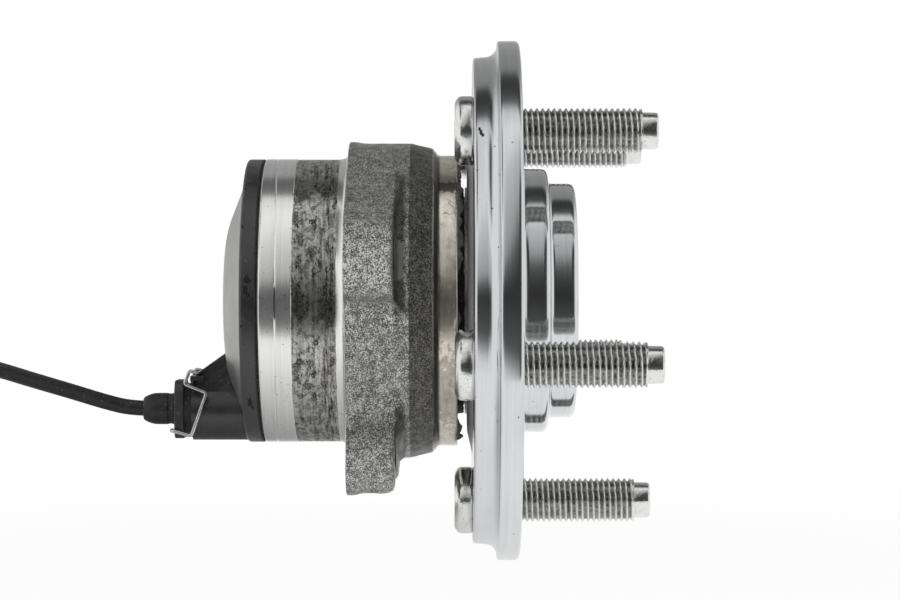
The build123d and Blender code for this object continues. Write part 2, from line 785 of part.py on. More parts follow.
with BuildPart() as plug_boot:
    with BuildSketch(Plane.XY.offset(plug_z)):
        with BuildLine():
            Polyline(
                (0, plug_back + boot_plug_depth),
                (boot_plug_r, plug_back + boot_plug_depth),
                (boot_plug_r, plug_back),
                (boot_r, plug_back),
                (boot_r, boot_end + boot_taper),
                (boot_end_r, boot_end),
                (cable_r + cable_gap, boot_end),
                (cable_r + cable_gap, cable_start),
                (0, cable_start),
                close=True,
            )
        make_face()
    revolve(axis=Axis((0, 0, plug_z), (0, 1, 0)))
plug_boot.part.label = "plug_boot"
export_step(plug_boot.part, "parts/plug_boot.step")

# --- Wire clip: one bent spring wire, turning in the rib's groove and hooked behind the plug ----
near_arm = [(arm_x, *place) for place in reversed(clip_places)]
near_arm = [(arm_x - hook_reach, *clip_places[-1]), *near_arm]
far_arm = [(-x, y, z) for x, y, z in reversed(near_arm)]
with BuildPart() as wire_clip:
    with BuildLine() as wire_line:
        FilletPolyline(*near_arm, *far_arm, radius=wire_bend_r)
    with BuildSketch(Plane(wire_line.line @ 0, z_dir=wire_line.line % 0)):
        Circle(wire_r)
    sweep()
wire_clip.part.label = "wire_clip"
export_step(wire_clip.part, "parts/wire_clip.step")

# --- Lead: cable, coil of its spare length, tie, tail and connector -----------------------------
with BuildPart() as sensor_cable:
    with BuildLine() as cable_line:
        tube_path(
            [
                (0, cable_start, plug_z),
                (0, boot_end - cable_lead_out, plug_z),
                *cable_route,
                (cable_x, cable_landing, coil_low),
                (cable_x, cable_end, coil_low),
            ]
        )
    with BuildSketch(Plane(cable_line.line @ 0, z_dir=cable_line.line % 0)):
        Circle(cable_r)
    sweep()
sensor_cable.part.label = "sensor_cable"
export_step(sensor_cable.part, "parts/sensor_cable.step")
cable_section = pi * cable_r**2
print("cable length:", round(cable_line.wire().length, 1), "volume over section times length:")
print(round(sensor_cable.part.volume / (cable_section * cable_line.wire().length), 4))

coil_half = 2 * cable_r
with BuildPart() as cable_coil:
    with BuildSketch(Plane.XY.offset(coil_low - cable_r)):
        with Locations((coil_x, coil_y)):
            Circle(coil_turn_r + coil_half)
            Circle(coil_turn_r - coil_half, mode=Mode.SUBTRACT)
    extrude(amount=2 * coil_half)
cable_coil.part.label = "cable_coil"
export_step(cable_coil.part, "parts/cable_coil.step")

with BuildPart() as coil_tie:
    with BuildSketch(Plane.XZ.offset(-coil_y)):
        with Locations((coil_x - coil_turn_r, coil_low - cable_r + coil_half)):
            RectangleRounded(2 * (coil_half + tie_thickness), 2 * (coil_half + tie_thickness), tie_thickness)
            Rectangle(2 * (coil_half + tie_gap), 2 * coil_half, mode=Mode.SUBTRACT)
    extrude(amount=tie_width / 2, both=True)
coil_tie.part.label = "coil_tie"
export_step(coil_tie.part, "parts/coil_tie.step")

with BuildPart() as cable_tail:
    with BuildLine() as tail_line:
        tube_path(
            [
                (tail_x, cable_end, coil_high),
                (tail_x, cable_end + tail_straight, coil_high),
                (tail_x, tail_end - tail_straight, connector_z),
                (tail_x, tail_end, connector_z),
            ]
        )
    with BuildSketch(Plane(tail_line.line @ 0, z_dir=tail_line.line % 0)):
        Circle(cable_r)
    sweep()
cable_tail.part.label = "cable_tail"
export_step(cable_tail.part, "parts/cable_tail.step")

contact_places = [(connector_z, tail_x + contact_spread), (connector_z, tail_x - contact_spread)]
mouth_floor = tail_end + connector_length - connector_mouth
with BuildPart() as lead_connector:
    with BuildSketch(Plane.ZX.offset(tail_end)):
        with Locations((connector_z, tail_x)):
            RectangleRounded(connector_height, connector_width, connector_corner_r)
    extrude(amount=connector_length)
    with BuildSketch(Plane.ZX.offset(mouth_floor)):
        with Locations((connector_z, tail_x)):
            RectangleRounded(
                connector_height - 2 * connector_wall,
                connector_width - 2 * connector_wall,
                connector_corner_r / 2,
            )
    extrude(amount=connector_mouth, mode=Mode.SUBTRACT)
lead_connector.part.label = "lead_connector"
export_step(lead_connector.part, "parts/lead_connector.step")

with BuildPart() as connector_contacts:
    with BuildSketch(Plane.ZX.offset(mouth_floor)):
        with Locations(contact_places):
            Circle(contact_r)
    extrude(amount=contact_length)
connector_contacts.part.label = "connector_contacts"
export_step(connector_contacts.part, "parts/connector_contacts.step")
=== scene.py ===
"""Looks for a wheel hub bearing with its plug-in speed sensor lead.

Laid out as an add-on: sizes and finishes are properties, each piece or group of like pieces is an operator,
and main() calls the operators in order. Shapes are worked out in millimetres and put into meshes in metres.
"""

import math

import bmesh
import bpy
import numpy as np
from bpy.props import FloatProperty, FloatVectorProperty, IntProperty, PointerProperty
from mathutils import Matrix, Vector


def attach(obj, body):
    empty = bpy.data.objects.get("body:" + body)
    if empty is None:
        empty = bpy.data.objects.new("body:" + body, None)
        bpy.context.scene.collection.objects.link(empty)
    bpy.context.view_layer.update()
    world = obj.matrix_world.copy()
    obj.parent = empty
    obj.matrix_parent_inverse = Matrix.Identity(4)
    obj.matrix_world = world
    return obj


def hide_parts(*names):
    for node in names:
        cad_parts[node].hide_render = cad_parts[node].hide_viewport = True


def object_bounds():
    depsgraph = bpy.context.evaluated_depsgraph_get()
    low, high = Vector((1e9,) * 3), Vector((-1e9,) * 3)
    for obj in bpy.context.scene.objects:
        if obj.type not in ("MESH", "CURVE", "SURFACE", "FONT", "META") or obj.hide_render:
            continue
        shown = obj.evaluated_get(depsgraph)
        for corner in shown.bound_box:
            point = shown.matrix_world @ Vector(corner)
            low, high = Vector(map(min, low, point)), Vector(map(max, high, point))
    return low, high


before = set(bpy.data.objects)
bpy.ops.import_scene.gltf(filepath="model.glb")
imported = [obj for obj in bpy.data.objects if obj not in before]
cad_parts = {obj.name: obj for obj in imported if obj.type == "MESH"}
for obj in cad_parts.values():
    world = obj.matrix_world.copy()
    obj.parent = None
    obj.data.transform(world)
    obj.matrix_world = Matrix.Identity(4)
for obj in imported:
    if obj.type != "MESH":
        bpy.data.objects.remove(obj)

bl_info = {
    "name": "Wheel Hub Bearing",
    "version": (1, 0, 0),
    "blender": (4, 5, 0),
    "location": "View3D > Sidebar > Hub Bearing",
    "description": "Builds the pieces, finishes, light and camera of a wheel hub bearing and its lead",
    "category": "Object",
}

MM = 0.001
FULL_TURN = 2 * math.pi
cad_box = [list(corner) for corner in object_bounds()]


# ---- Settings -------------------------------------------------------------------------------------


def length(name, description, default):
    """A length property in metres, given here in millimetres."""
    return FloatProperty(
        name=name, description=description, default=default * MM, min=0.0, unit="LENGTH", precision=5
    )


def colour(name, description, default):
    """A colour property in linear light."""
    return FloatVectorProperty(
        name=name, description=description, default=default, min=0.0, max=1.0, size=3, subtype="COLOR"
    )


class HubBearingSizes(bpy.types.PropertyGroup):
    """Sizes of the dressed pieces."""

    forging_relief: length("Forging relief", "Height of the waves left in the forged skin", 0.16)
    tap_pitch: length("Tapped hole pitch", "Thread pitch of the knuckle bolts' holes", 1.75)
    thread_pitch: length("Stud pitch", "Thread pitch of the wheel studs", 1.5)
    thread_depth: length("Stud thread depth", "From a thread's crest to its root", 0.88)
    moulded_edge: length("Moulded edge", "Easing of the edges of moulded pieces", 0.28)
    lead_diameter: length("Lead diameter", "Outside diameter of the sensor lead", 4.2)
    coil_radius: length("Coil radius", "Radius at the middle of the stored turns", 23.1)
    coil_points: IntProperty(
        name="Points per turn", description="Control points in one turn", default=16, min=12
    )


class HubBearingFinishes(bpy.types.PropertyGroup):
    """Colours of the finishes."""

    ground_steel: colour("Ground steel", "Pilot body of the outer ring", (0.90, 0.90, 0.89))
    forged_steel: colour("Forged steel", "Blasted skin of the outer ring", (0.135, 0.134, 0.129))
    # The bright grains are partly painted glints.
    forged_glint: colour("Forged glint", "Bright grains of the blasted skin", (0.95, 0.95, 0.93))
    aged_nose: colour("Aged nose", "Stained turned end of the outer ring", (0.80, 0.76, 0.67))
    turned_steel: colour("Turned steel", "Hub flange and pilots", (0.74, 0.75, 0.76))
    zinc: colour("Zinc", "Plating of the wheel studs", (0.80, 0.805, 0.785))
    cap_steel: colour("Cap steel", "Pressed dome of the cap", (0.42, 0.42, 0.41))
    moulding: colour("Moulding", "Black moulded plastic", (0.017, 0.017, 0.019))
    rubber: colour("Rubber", "Seals, boot and lead", (0.014, 0.014, 0.015))
    # Also used as painted shade in the hollow beside the forging's lobes.
    oil: colour("Oil", "Dried oil and grease", (0.030, 0.026, 0.022))


def sizes():
    """The scene's sizes."""
    return bpy.context.scene.hub_bearing_sizes


def finishes():
    """The scene's colours."""
    return bpy.context.scene.hub_bearing_finishes


# ---- Surfaces -------------------------------------------------------------------------------------


def value_noise(points, size, seed=0):
    """Smooth noise from -1 to 1: each lattice corner has a hashed value, and along each axis they are blended
    by 3t^2 - 2t^3."""
    place = points / size + 100.0
    cell = np.floor(place).astype(np.int64)
    share = place - cell
    share = share * share * (3.0 - 2.0 * share)
    total = np.zeros(points.shape[:-1])
    for corner in np.ndindex(2, 2, 2):
        at = cell + corner
        key = at[..., 0] * 73856093 ^ at[..., 1] * 19349663 ^ at[..., 2] * 83492791 ^ (seed + 7) * 2654435761
        key = (key ^ (key >> 13)) * 1274126177 & 0x7FFFFFFF
        weight = np.prod(np.where(np.array(corner) == 1, share, 1.0 - share), axis=-1)
        total += weight * ((key ^ (key >> 16)) & 0xFFFF) / 32767.5
    return total - 1.0


def smooth_step(low, high, value):
    """0 below low and 1 above high, and 3t^2 - 2t^3 between them."""
    share = np.clip((value - low) / (high - low), 0.0, 1.0)
    return share * share * (3.0 - 2.0 * share)


def eased(corners, steps=5):
    """A closed outline with eased corners. corners is (corner, column, 3): radius, axial place and reach.
    Corner P gives way to (1-s)^2 A + 2s(1-s) P + s^2 B. A and B lie on its sides at its reach from P."""
    place, reach = corners[..., :2], corners[..., 2:]

    def toward(other):
        side = other - place
        long = np.maximum(np.linalg.norm(side, axis=-1, keepdims=True), 1e-9)
        return place + side / long * np.minimum(reach, 0.48 * long)

    start, end = toward(np.roll(place, 1, 0)), toward(np.roll(place, -1, 0))
    s = np.linspace(0.0, 1.0, steps)[None, :, None, None]
    curve = (1 - s) ** 2 * start[:, None] + 2 * s * (1 - s) * place[:, None] + s * s * end[:, None]
    return curve.reshape(-1, *place.shape[1:])


def spaced(outline, gap):
    """The same closed outlines with points at most about gap apart, by straight shares of each long side."""
    after = np.roll(outline, -1, 0)
    long = np.linalg.norm(after - outline, axis=-1).max(axis=1)
    pieces = np.maximum(1, np.ceil(long / gap)).astype(int)
    side = np.repeat(np.arange(len(outline)), pieces)
    share = (np.arange(len(side)) - np.repeat(np.cumsum(pieces) - pieces, pieces)) / pieces[side]
    return outline[side] + (after - outline)[side] * share[:, None, None]


def distinct(outline):
    """The outlines without rows that repeat the row before."""
    step = np.linalg.norm(outline - np.roll(outline, 1, 0), axis=-1).max(axis=1)
    return outline[step > 1e-4]


def turned(outline, angles):
    """Carries outlines round the Y axis: x = r sin a, y = axial place, z = r cos a."""
    r, y = outline[..., 0], outline[..., 1]
    return np.stack([r * np.sin(angles), y + 0 * angles, r * np.cos(angles)], axis=-1)


def columns_of(corners, count):
    """The same corner list for every column of a turned surface."""
    return np.repeat(np.array(corners, float)[:, None, :], count, axis=1)


def grid_faces(rows, columns, close_rows=True):
    """The quads between neighbouring rows and columns of a grid whose columns close on themselves."""
    last = rows if close_rows else rows - 1
    row, column = np.meshgrid(np.arange(last), np.arange(columns), indexing="ij")
    below, beside = (row + 1) % rows * columns, (column + 1) % columns
    here = row * columns
    quads = [here + column, here + beside, below + beside, below + column]
    return np.stack(quads, axis=-1).reshape(-1, 4)


def grid_normals(points):
    """Unit normals of a grid closed both ways, from the cross product of its two directions."""
    along = np.roll(points, -1, 0) - np.roll(points, 1, 0)
    across = np.roll(points, -1, 1) - np.roll(points, 1, 1)
    normal = np.cross(across, along)
    return normal / np.maximum(np.linalg.norm(normal, axis=-1, keepdims=True), 1e-9)


def turned_surface(corners, columns, steps, gap=None):
    """A round surface from one list of corners, with points at most gap apart along it if a gap is given.
    Gives its outlines, points and faces."""
    outline = distinct(eased(columns_of(corners, columns), steps))
    if gap:
        outline = spaced(outline, gap)
    angles = np.linspace(0, FULL_TURN, columns, endpoint=False)
    return outline, turned(outline, angles), grid_faces(*outline.shape[:2])


def arc_points(centre, radius, start, end, count=9):
    """Points of an arc in an outline, angles in degrees from the radial direction towards +Y."""
    angle = np.radians(np.linspace(start, end, count))
    return [(centre[0] + radius * math.cos(a), centre[1] + radius * math.sin(a), 0.0) for a in angle]


def in_scene(thing):
    """Puts a new object into the scene's collection and gives it back."""
    bpy.context.scene.collection.objects.link(thing)
    return thing


def make_piece(name, points, faces, material, body, nodes=(), crease=35.0, marks=None):
    """A closed mesh from points in millimetres, with doubles at poles and seams merged and its faces turned
    outwards. marks are values for each point, by name."""
    mesh = bpy.data.meshes.new(name)
    mesh.from_pydata(points.reshape(-1, 3) * MM, [], faces)
    for mark, values in (marks or {}).items():
        layer = mesh.attributes.new(mark, "FLOAT", "POINT")
        layer.data.foreach_set("value", values.astype(np.float32).ravel())
    work = bmesh.new()
    work.from_mesh(mesh)
    bmesh.ops.remove_doubles(work, verts=work.verts, dist=2e-7)
    bmesh.ops.recalc_face_normals(work, faces=work.faces)
    work.to_mesh(mesh)
    work.free()
    return finish_piece(name, mesh, material, body, nodes, crease)


def finish_piece(name, mesh, material, body, nodes, crease):
    """Smooth shading with crisp creases, its finish, and its place on a body."""
    mesh.polygons.foreach_set("use_smooth", np.ones(len(mesh.polygons), bool))
    mesh.set_sharp_from_angle(angle=math.radians(crease))
    mesh.materials.clear()
    mesh.materials.append(material)
    mesh.update()
    piece = in_scene(bpy.data.objects.new(name, mesh))
    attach(piece, body)
    if nodes:
        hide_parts(*nodes)
    return piece


def point_places(mesh):
    """The places of a mesh's points, in metres."""
    places = np.zeros(len(mesh.vertices) * 3)
    mesh.vertices.foreach_get("co", places)
    return places.reshape(-1, 3)


def softened(node, name, material, body, edge, crease=28.0):
    """A copy of a node with its loose triangles joined, flat faces made whole and its edges eased."""
    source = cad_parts[node].data
    faces = np.zeros(len(source.polygons) * 3, int)
    source.polygons.foreach_get("vertices", faces)
    mesh = bpy.data.meshes.new(name)
    mesh.from_pydata(point_places(source), [], faces.reshape(-1, 3))
    work = bmesh.new()
    work.from_mesh(mesh)
    bmesh.ops.remove_doubles(work, verts=work.verts, dist=2e-6)
    bmesh.ops.dissolve_limit(work, angle_limit=math.radians(0.6), verts=work.verts, edges=work.edges)
    work.to_mesh(mesh)
    work.free()
    piece = finish_piece(name, mesh, material, body, [node], crease)
    bevel = piece.modifiers.new("Eased edges", "BEVEL")
    bevel.width = edge
    bevel.segments = 3
    bevel.limit_method = "ANGLE"
    bevel.angle_limit = math.radians(crease)
    return piece


# ---- Shader building ------------------------------------------------------------------------------


def socket_name(key):
    """A socket's label from a Python name: "coat_weight" gives "Coat Weight"."""
    return key.replace("_", " ").title()


class Bench:
    """Places nodes in a tree. A socket or a plain value may be given wherever an input is wanted."""

    def __init__(self, tree):
        self.tree = tree

    def put(self, kind, inputs=None, **settings):
        """A new node with its settings and inputs."""
        node = self.tree.nodes.new(kind)
        for key, value in settings.items():
            setattr(node, key, value)
        for key, value in (inputs or {}).items():
            self.feed(node.inputs[key], value)
        return node

    def feed(self, socket, value):
        """Links a socket to an input, or sets the input to a plain value."""
        if isinstance(value, bpy.types.NodeSocket):
            self.tree.links.new(value, socket)
        elif socket.type == "RGBA" and len(value) == 3:
            socket.default_value = (*value, 1.0)
        else:
            socket.default_value = value

    def maths(self, operation, *values, clamp=False):
        """One step of arithmetic."""
        node = self.put("ShaderNodeMath", operation=operation, use_clamp=clamp)
        for socket, value in zip(node.inputs, values):
            self.feed(socket, value)
        return node.outputs[0]

    def plus(self, first, second):
        """The sum."""
        return self.maths("ADD", first, second)

    def minus(self, first, second):
        """What is left of first without second."""
        return self.maths("SUBTRACT", first, second)

    def times(self, first, second):
        """The product."""
        return self.maths("MULTIPLY", first, second)

    def over(self, first, second):
        """First shared by second."""
        return self.maths("DIVIDE", first, second)

    def most(self, first, second):
        """The higher one."""
        return self.maths("MAXIMUM", first, second)

    def length_of(self, across, along):
        """The length of a step with two sides at a right angle."""
        return self.maths("SQRT", self.plus(self.times(across, across), self.times(along, along)))

    def built_up(self, start, *parts, clamp=False):
        """A value with others added to it, each times its own amount."""
        for value, amount in parts:
            start = self.maths("MULTIPLY_ADD", value, amount, start, clamp=clamp)
        return start

    def span(self, value, low, high, out_low=0.0, out_high=1.0, smooth=True):
        """Maps low..high of a value to out_low..out_high and holds it there beyond."""
        kind = "SMOOTHSTEP" if smooth else "LINEAR"
        wanted = {"Value": value, "From Min": low, "From Max": high, "To Min": out_low, "To Max": out_high}
        return self.put("ShaderNodeMapRange", wanted, interpolation_type=kind).outputs[0]

    def blend(self, share, first, second):
        """Mixes two colours by a share."""
        node = self.put("ShaderNodeMix", data_type="RGBA")
        for index, value in ((0, share), (6, first), (7, second)):
            self.feed(node.inputs[index], value)
        return node.outputs[2]

    def tinted(self, base, *layers):
        """A colour with others laid over it. A layer is a mask, the most it covers, and its colour."""
        for mask, share, tint in layers:
            base = self.blend(self.times(mask, share), base, tint)
        return base

    def noise(self, vector, scale, detail=3.0, roughness=0.55, distortion=0.0):
        """Cloudy noise about 0.5."""
        wanted = {"Vector": vector, "Scale": scale, "Detail": detail}
        wanted.update({"Roughness": roughness, "Distortion": distortion})
        return self.put("ShaderNodeTexNoise", wanted).outputs[0]

    def effect(self, name, **inputs):
        """A shared effect with this material's own values. Input names take spaces for underscores."""
        node = self.put("ShaderNodeGroup", node_tree=bpy.data.node_groups[name])
        for key, value in inputs.items():
            self.feed(node.inputs[socket_name(key)], value)
        return node.outputs

    def mask(self, name, **inputs):
        """The mask that a shared effect puts out."""
        return self.effect(name, **inputs)["Mask"]

    def spots(self, places, ragged=0.5):
        """The highest mask of blotches given by angle, axial place, width and height."""
        mask = 0.0
        for angle, along, width, height in places:
            spot = self.mask("Blotch", angle=angle, along=along, width=width, height=height, ragged=ragged)
            mask = self.most(mask, spot)
        return mask

    def attribute(self, name):
        """A value stored on the mesh's points."""
        return self.put("ShaderNodeAttribute", attribute_name=name).outputs["Fac"]

    def millimetres(self):
        """Place on the object in millimetres."""
        place = self.put("ShaderNodeTexCoord").outputs["Object"]
        return self.put("ShaderNodeVectorMath", {0: place, "Scale": 1.0 / MM}, operation="SCALE").outputs[0]

    def round_place(self):
        """Radius from the hub axis and axial place in millimetres, and the angle from the top."""
        x, y, z = self.put("ShaderNodeSeparateXYZ", {0: self.millimetres()}).outputs[:3]
        return self.length_of(x, z), y, self.maths("ARCTAN2", x, z)

    def pack(self, x, y, z):
        """A vector from three values."""
        return self.put("ShaderNodeCombineXYZ", {0: x, 1: y, 2: z}).outputs[0]

    def shifted(self, vector, shift):
        """The sum of two vectors."""
        return self.put("ShaderNodeVectorMath", {0: vector, 1: shift}, operation="ADD").outputs[0]


def new_effect(name, inputs, outputs):
    """An empty node group with named float sockets, and its bench, input and output nodes."""
    group = bpy.data.node_groups.new(name, "ShaderNodeTree")
    for label, default in inputs.items():
        socket = group.interface.new_socket(label, in_out="INPUT", socket_type="NodeSocketFloat")
        socket.default_value = default
    for label in outputs:
        group.interface.new_socket(label, in_out="OUTPUT", socket_type="NodeSocketFloat")
    bench = Bench(group)
    return bench, bench.put("NodeGroupInput").outputs, bench.put("NodeGroupOutput").inputs


def build_turning_lines():
    """Fine and broad rings left by a turning tool: noise stretched right round the axis."""
    bench, given, result = new_effect("Turning Lines", {"Spacing": 0.3, "Wander": 0.4}, ("Lines", "Height"))
    radius, y, angle = bench.round_place()
    along = bench.over(bench.plus(radius, y), given["Spacing"])
    turn = bench.times(bench.maths("SINE", angle), given["Wander"])
    fine = bench.noise(bench.pack(along, turn, 0.0), 1.0, 2.0, 0.7)
    broad = bench.noise(bench.pack(bench.times(along, 0.13), turn, 5.0), 1.0, 2.0)
    bench.feed(result["Lines"], bench.span(bench.plus(fine, broad), 0.75, 1.25))
    bench.feed(result["Height"], fine)


def build_blasted_skin():
    """Shot-blasted grains: sharp bright specks in clumps, partly grain and partly painted glints, and their
    relief.
    """
    bench, given, result = new_effect("Blasted Skin", {"Grain": 0.4}, ("Glint", "Height"))
    vector = bench.millimetres()
    scale = bench.over(1.0, given["Grain"])
    grains = bench.noise(vector, scale, 3.0, 0.55, 0.5)
    clumps = bench.noise(vector, bench.times(scale, 0.16), 3.0, 0.6)
    bench.feed(result["Glint"], bench.span(bench.built_up(grains, (clumps, 0.35)), 0.60, 0.82))
    bench.feed(result["Height"], bench.built_up(grains, (clumps, 0.6)))


def build_mottle():
    """Cloudy stains. Draw under 1 stretches them round the axis, at the pilot's radius."""
    wanted = {"Size": 3.0, "Draw": 0.5, "Low": 0.45, "High": 0.6, "Seed": 0.0}
    bench, given, result = new_effect("Mottle", wanted, ("Mask",))
    radius, y, angle = bench.round_place()
    reach = bench.times(bench.times(angle, 38.0), given["Draw"])
    spots = bench.pack(bench.times(bench.maths("SINE", angle), 4.0), bench.plus(y, radius), reach)
    moved = bench.shifted(spots, bench.pack(given["Seed"], 0.0, 0.0))
    cloud = bench.noise(moved, bench.over(1.0, given["Size"]), 6.0, 0.66, 0.4)
    bench.feed(result["Mask"], bench.span(cloud, given["Low"], given["High"]))


def build_scuffs():
    """Short scratches in one direction, gathered in patches."""
    bench, given, result = new_effect("Scuffs", {"Size": 2.0, "Amount": 0.5, "Turn": 0.6}, ("Mask",))
    vector = bench.millimetres()
    wanted = {"Vector": vector, "Angle": given["Turn"], "Axis": (0.4, 0.5, 0.77)}
    leant = bench.put("ShaderNodeVectorRotate", wanted).outputs[0]
    drawn = bench.put("ShaderNodeVectorMath", {0: leant, 1: (1.0, 0.07, 1.0)}, operation="MULTIPLY")
    strokes = bench.noise(drawn.outputs[0], bench.over(2.4, given["Size"]), 4.0, 0.75, 0.2)
    patches = bench.noise(vector, bench.over(0.35, given["Size"]), 2.0)
    both = bench.times(bench.span(strokes, 0.60, 0.68), bench.span(patches, 0.48, 0.62))
    bench.feed(result["Mask"], bench.times(both, given["Amount"]))


def build_specks():
    """Scattered round specks, and thin rings such as dried drops leave."""
    bench, given, result = new_effect("Specks", {"Size": 0.5, "Amount": 0.3}, ("Mask", "Rings"))
    vector = bench.millimetres()
    ripple = bench.times(bench.noise(vector, 1.6, 2.0), given["Size"])
    uneven = bench.shifted(vector, bench.pack(ripple, ripple, ripple))
    wanted = {"Vector": uneven, "Scale": bench.over(0.5, given["Size"])}
    cells = bench.put("ShaderNodeTexVoronoi", wanted, feature="F1")
    chance = bench.put("ShaderNodeSeparateColor", {0: cells.outputs["Color"]}).outputs[0]
    chosen = bench.maths("LESS_THAN", chance, given["Amount"])
    away = cells.outputs["Distance"]
    dot = bench.span(away, 0.16, 0.26, 1.0, 0.0)
    bench.feed(result["Mask"], bench.times(dot, chosen))
    ring = bench.times(bench.span(away, 0.20, 0.27), bench.span(away, 0.29, 0.36, 1.0, 0.0))
    bench.feed(result["Rings"], bench.times(ring, chosen))


def build_cracks():
    """A net of hairline cracks that comes and goes: the borders between bent cells."""
    bench, given, result = new_effect("Cracks", {"Size": 4.0, "Width": 0.05, "Amount": 0.5}, ("Mask",))
    vector = bench.millimetres()
    ripple = bench.times(bench.noise(vector, 0.45, 3.0, 0.65), given["Size"])
    bent = bench.shifted(vector, bench.pack(ripple, bench.times(ripple, -0.7), ripple))
    wanted = {"Vector": bent, "Scale": bench.over(1.0, given["Size"])}
    net = bench.put("ShaderNodeTexVoronoi", wanted, feature="DISTANCE_TO_EDGE")
    line = bench.span(net.outputs["Distance"], 0.0, given["Width"], 1.0, 0.0)
    where = bench.noise(vector, 0.16, 2.0)
    part = bench.span(where, bench.minus(1.0, given["Amount"]), bench.minus(1.12, given["Amount"]))
    bench.feed(result["Mask"], bench.times(line, part))


def build_zones():
    """Two masks with soft or ragged ends: between two places along the axis, and between two radii."""
    for name in ("Zone Along", "Zone Across"):
        wanted = {"Start": 0.0, "End": 1.0, "Soft": 0.2, "Ragged": 0.0}
        bench, given, result = new_effect(name, wanted, ("Mask",))
        radius, y, _ = bench.round_place()
        ripple = bench.minus(bench.noise(bench.millimetres(), 0.55, 3.0, 0.6), 0.5)
        at = bench.plus(y if name == "Zone Along" else radius, bench.times(ripple, given["Ragged"]))
        rise = bench.span(at, given["Start"], bench.plus(given["Start"], given["Soft"]))
        fall = bench.span(at, bench.minus(given["End"], given["Soft"]), given["End"], 1.0, 0.0)
        bench.feed(result["Mask"], bench.times(rise, fall))


def build_blotch():
    """One ragged spot: an ellipse round a place given by its angle from the top in degrees, from -180 to 180,
    and its axial place."""
    wanted = {"Angle": 90.0, "Along": 0.0, "Width": 1.0, "Height": 1.0, "Ragged": 0.5}
    bench, given, result = new_effect("Blotch", wanted, ("Mask",))
    radius, y, angle = bench.round_place()
    turn = bench.minus(angle, bench.maths("RADIANS", given["Angle"]))
    across = bench.over(bench.times(turn, radius), given["Height"])
    along = bench.over(bench.minus(y, given["Along"]), given["Width"])
    ripple = bench.minus(bench.noise(bench.millimetres(), 0.8, 5.0, 0.65), 0.5)
    away = bench.built_up(bench.length_of(across, along), (ripple, bench.times(given["Ragged"], 4.0)))
    bench.feed(result["Mask"], bench.span(away, 0.42, 0.58, 1.0, 0.0))


def build_effects():
    """The effects that several finishes share."""
    build_turning_lines()
    build_blasted_skin()
    build_mottle()
    build_scuffs()
    build_specks()
    build_cracks()
    build_zones()
    build_blotch()


def new_material(name, metallic=0.0, **constants):
    """A material with its surface shader, and the bench to dress it. Constants go straight on its sockets."""
    material = bpy.data.materials.new(name)
    material.use_nodes = True
    bench = Bench(material.node_tree)
    shader = material.node_tree.nodes["Principled BSDF"]
    shader.inputs["Metallic"].default_value = metallic
    for key, value in constants.items():
        shader.inputs[socket_name(key)].default_value = value
    bench.shader = shader
    return material, bench


def dress(bench, base, roughness, height, depth, metallic=None):
    """Feeds colour, roughness and bump to the surface shader. depth is the bump's height in millimetres."""
    bench.feed(bench.shader.inputs["Base Color"], base)
    bench.feed(bench.shader.inputs["Roughness"], roughness)
    if metallic is not None:
        bench.feed(bench.shader.inputs["Metallic"], metallic)
    bump = bench.put("ShaderNodeBump", {"Height": height, "Distance": depth * MM, "Strength": 1.0})
    bench.feed(bench.shader.inputs["Normal"], bump.outputs[0])


# ---- Finishes -------------------------------------------------------------------------------------


# Black spots on the stained band: angle from the top in degrees, then axial place, width and height in mm.
OIL_SPOTS = (
    (44.0, -11.8, 5.0, 6.0),
    (42.0, -5.2, 5.0, 6.0),
    (71.0, -8.7, 2.2, 4.2),
    (92.0, -12.2, 4.0, 9.0),
    (94.0, -4.4, 5.0, 8.0),
    (57.0, -12.9, 2.0, 5.0),
    (118.0, -12.6, 2.4, 7.0),
    (126.0, -9.8, 3.0, 3.0),
)


def stained_band(bench, look):
    """The oil-stained band of the pilot: a fine mottle with streaks, clouds, dried rings and black spots.
    Gives its colour and how much of it is stained."""
    streaks = bench.mask("Mottle", size=0.8, draw=0.09, low=0.40, high=0.62, seed=9.0)
    clouds = bench.mask("Mottle", size=1.7, draw=0.8, low=0.42, high=0.60, seed=21.0)
    grain = bench.mask("Mottle", size=0.42, draw=0.7, low=0.40, high=0.62, seed=3.0)
    outboard = bench.mask("Zone Along", start=-8.0, end=-2.0, soft=2.5)
    rings = bench.effect("Specks", size=1.25, amount=0.24)["Rings"]
    specks = bench.mask("Specks", size=0.5, amount=0.25)
    hair = bench.effect("Turning Lines", spacing=0.11, wander=0.9)["Lines"]
    dust = bench.span(bench.noise(bench.millimetres(), 2.6, 4.0, 0.7), 0.40, 0.60)
    lined = bench.times(streaks, bench.span(outboard, 0.0, 1.0, 0.22, 0.50))
    clouded = (clouds, bench.span(outboard, 0.0, 1.0, 0.38, 0.20))
    stain = bench.built_up(lined, clouded, (grain, 0.20), (hair, 0.20), (dust, 0.22), (rings, 0.45))
    stain = bench.built_up(stain, (specks, 0.35), clamp=True)
    thick = bench.times(bench.spots(OIL_SPOTS), bench.span(grain, 0.0, 1.0, 0.74, 0.97))
    stain = bench.most(stain, thick)
    return bench.blend(stain, (0.70, 0.70, 0.685), look.oil), stain


def ground_colour(bench, look, lines):
    """The ground pilot: tool lines, scuffs, specks and the dark stretch of its groove."""
    scuffs = bench.mask("Scuffs", size=2.4, amount=0.9, turn=0.5)
    specks = bench.mask("Specks", size=0.4, amount=0.05)
    groove = bench.spots([(91.0, -18.12, 0.60, 9.5)], 0.08)
    return bench.tinted(
        look.ground_steel,
        (lines["Lines"], 0.22, (0.50, 0.50, 0.50)),
        (scuffs, 0.55, (0.20, 0.20, 0.20)),
        (specks, 0.8, look.oil),
        (groove, 0.95, look.oil),
    )


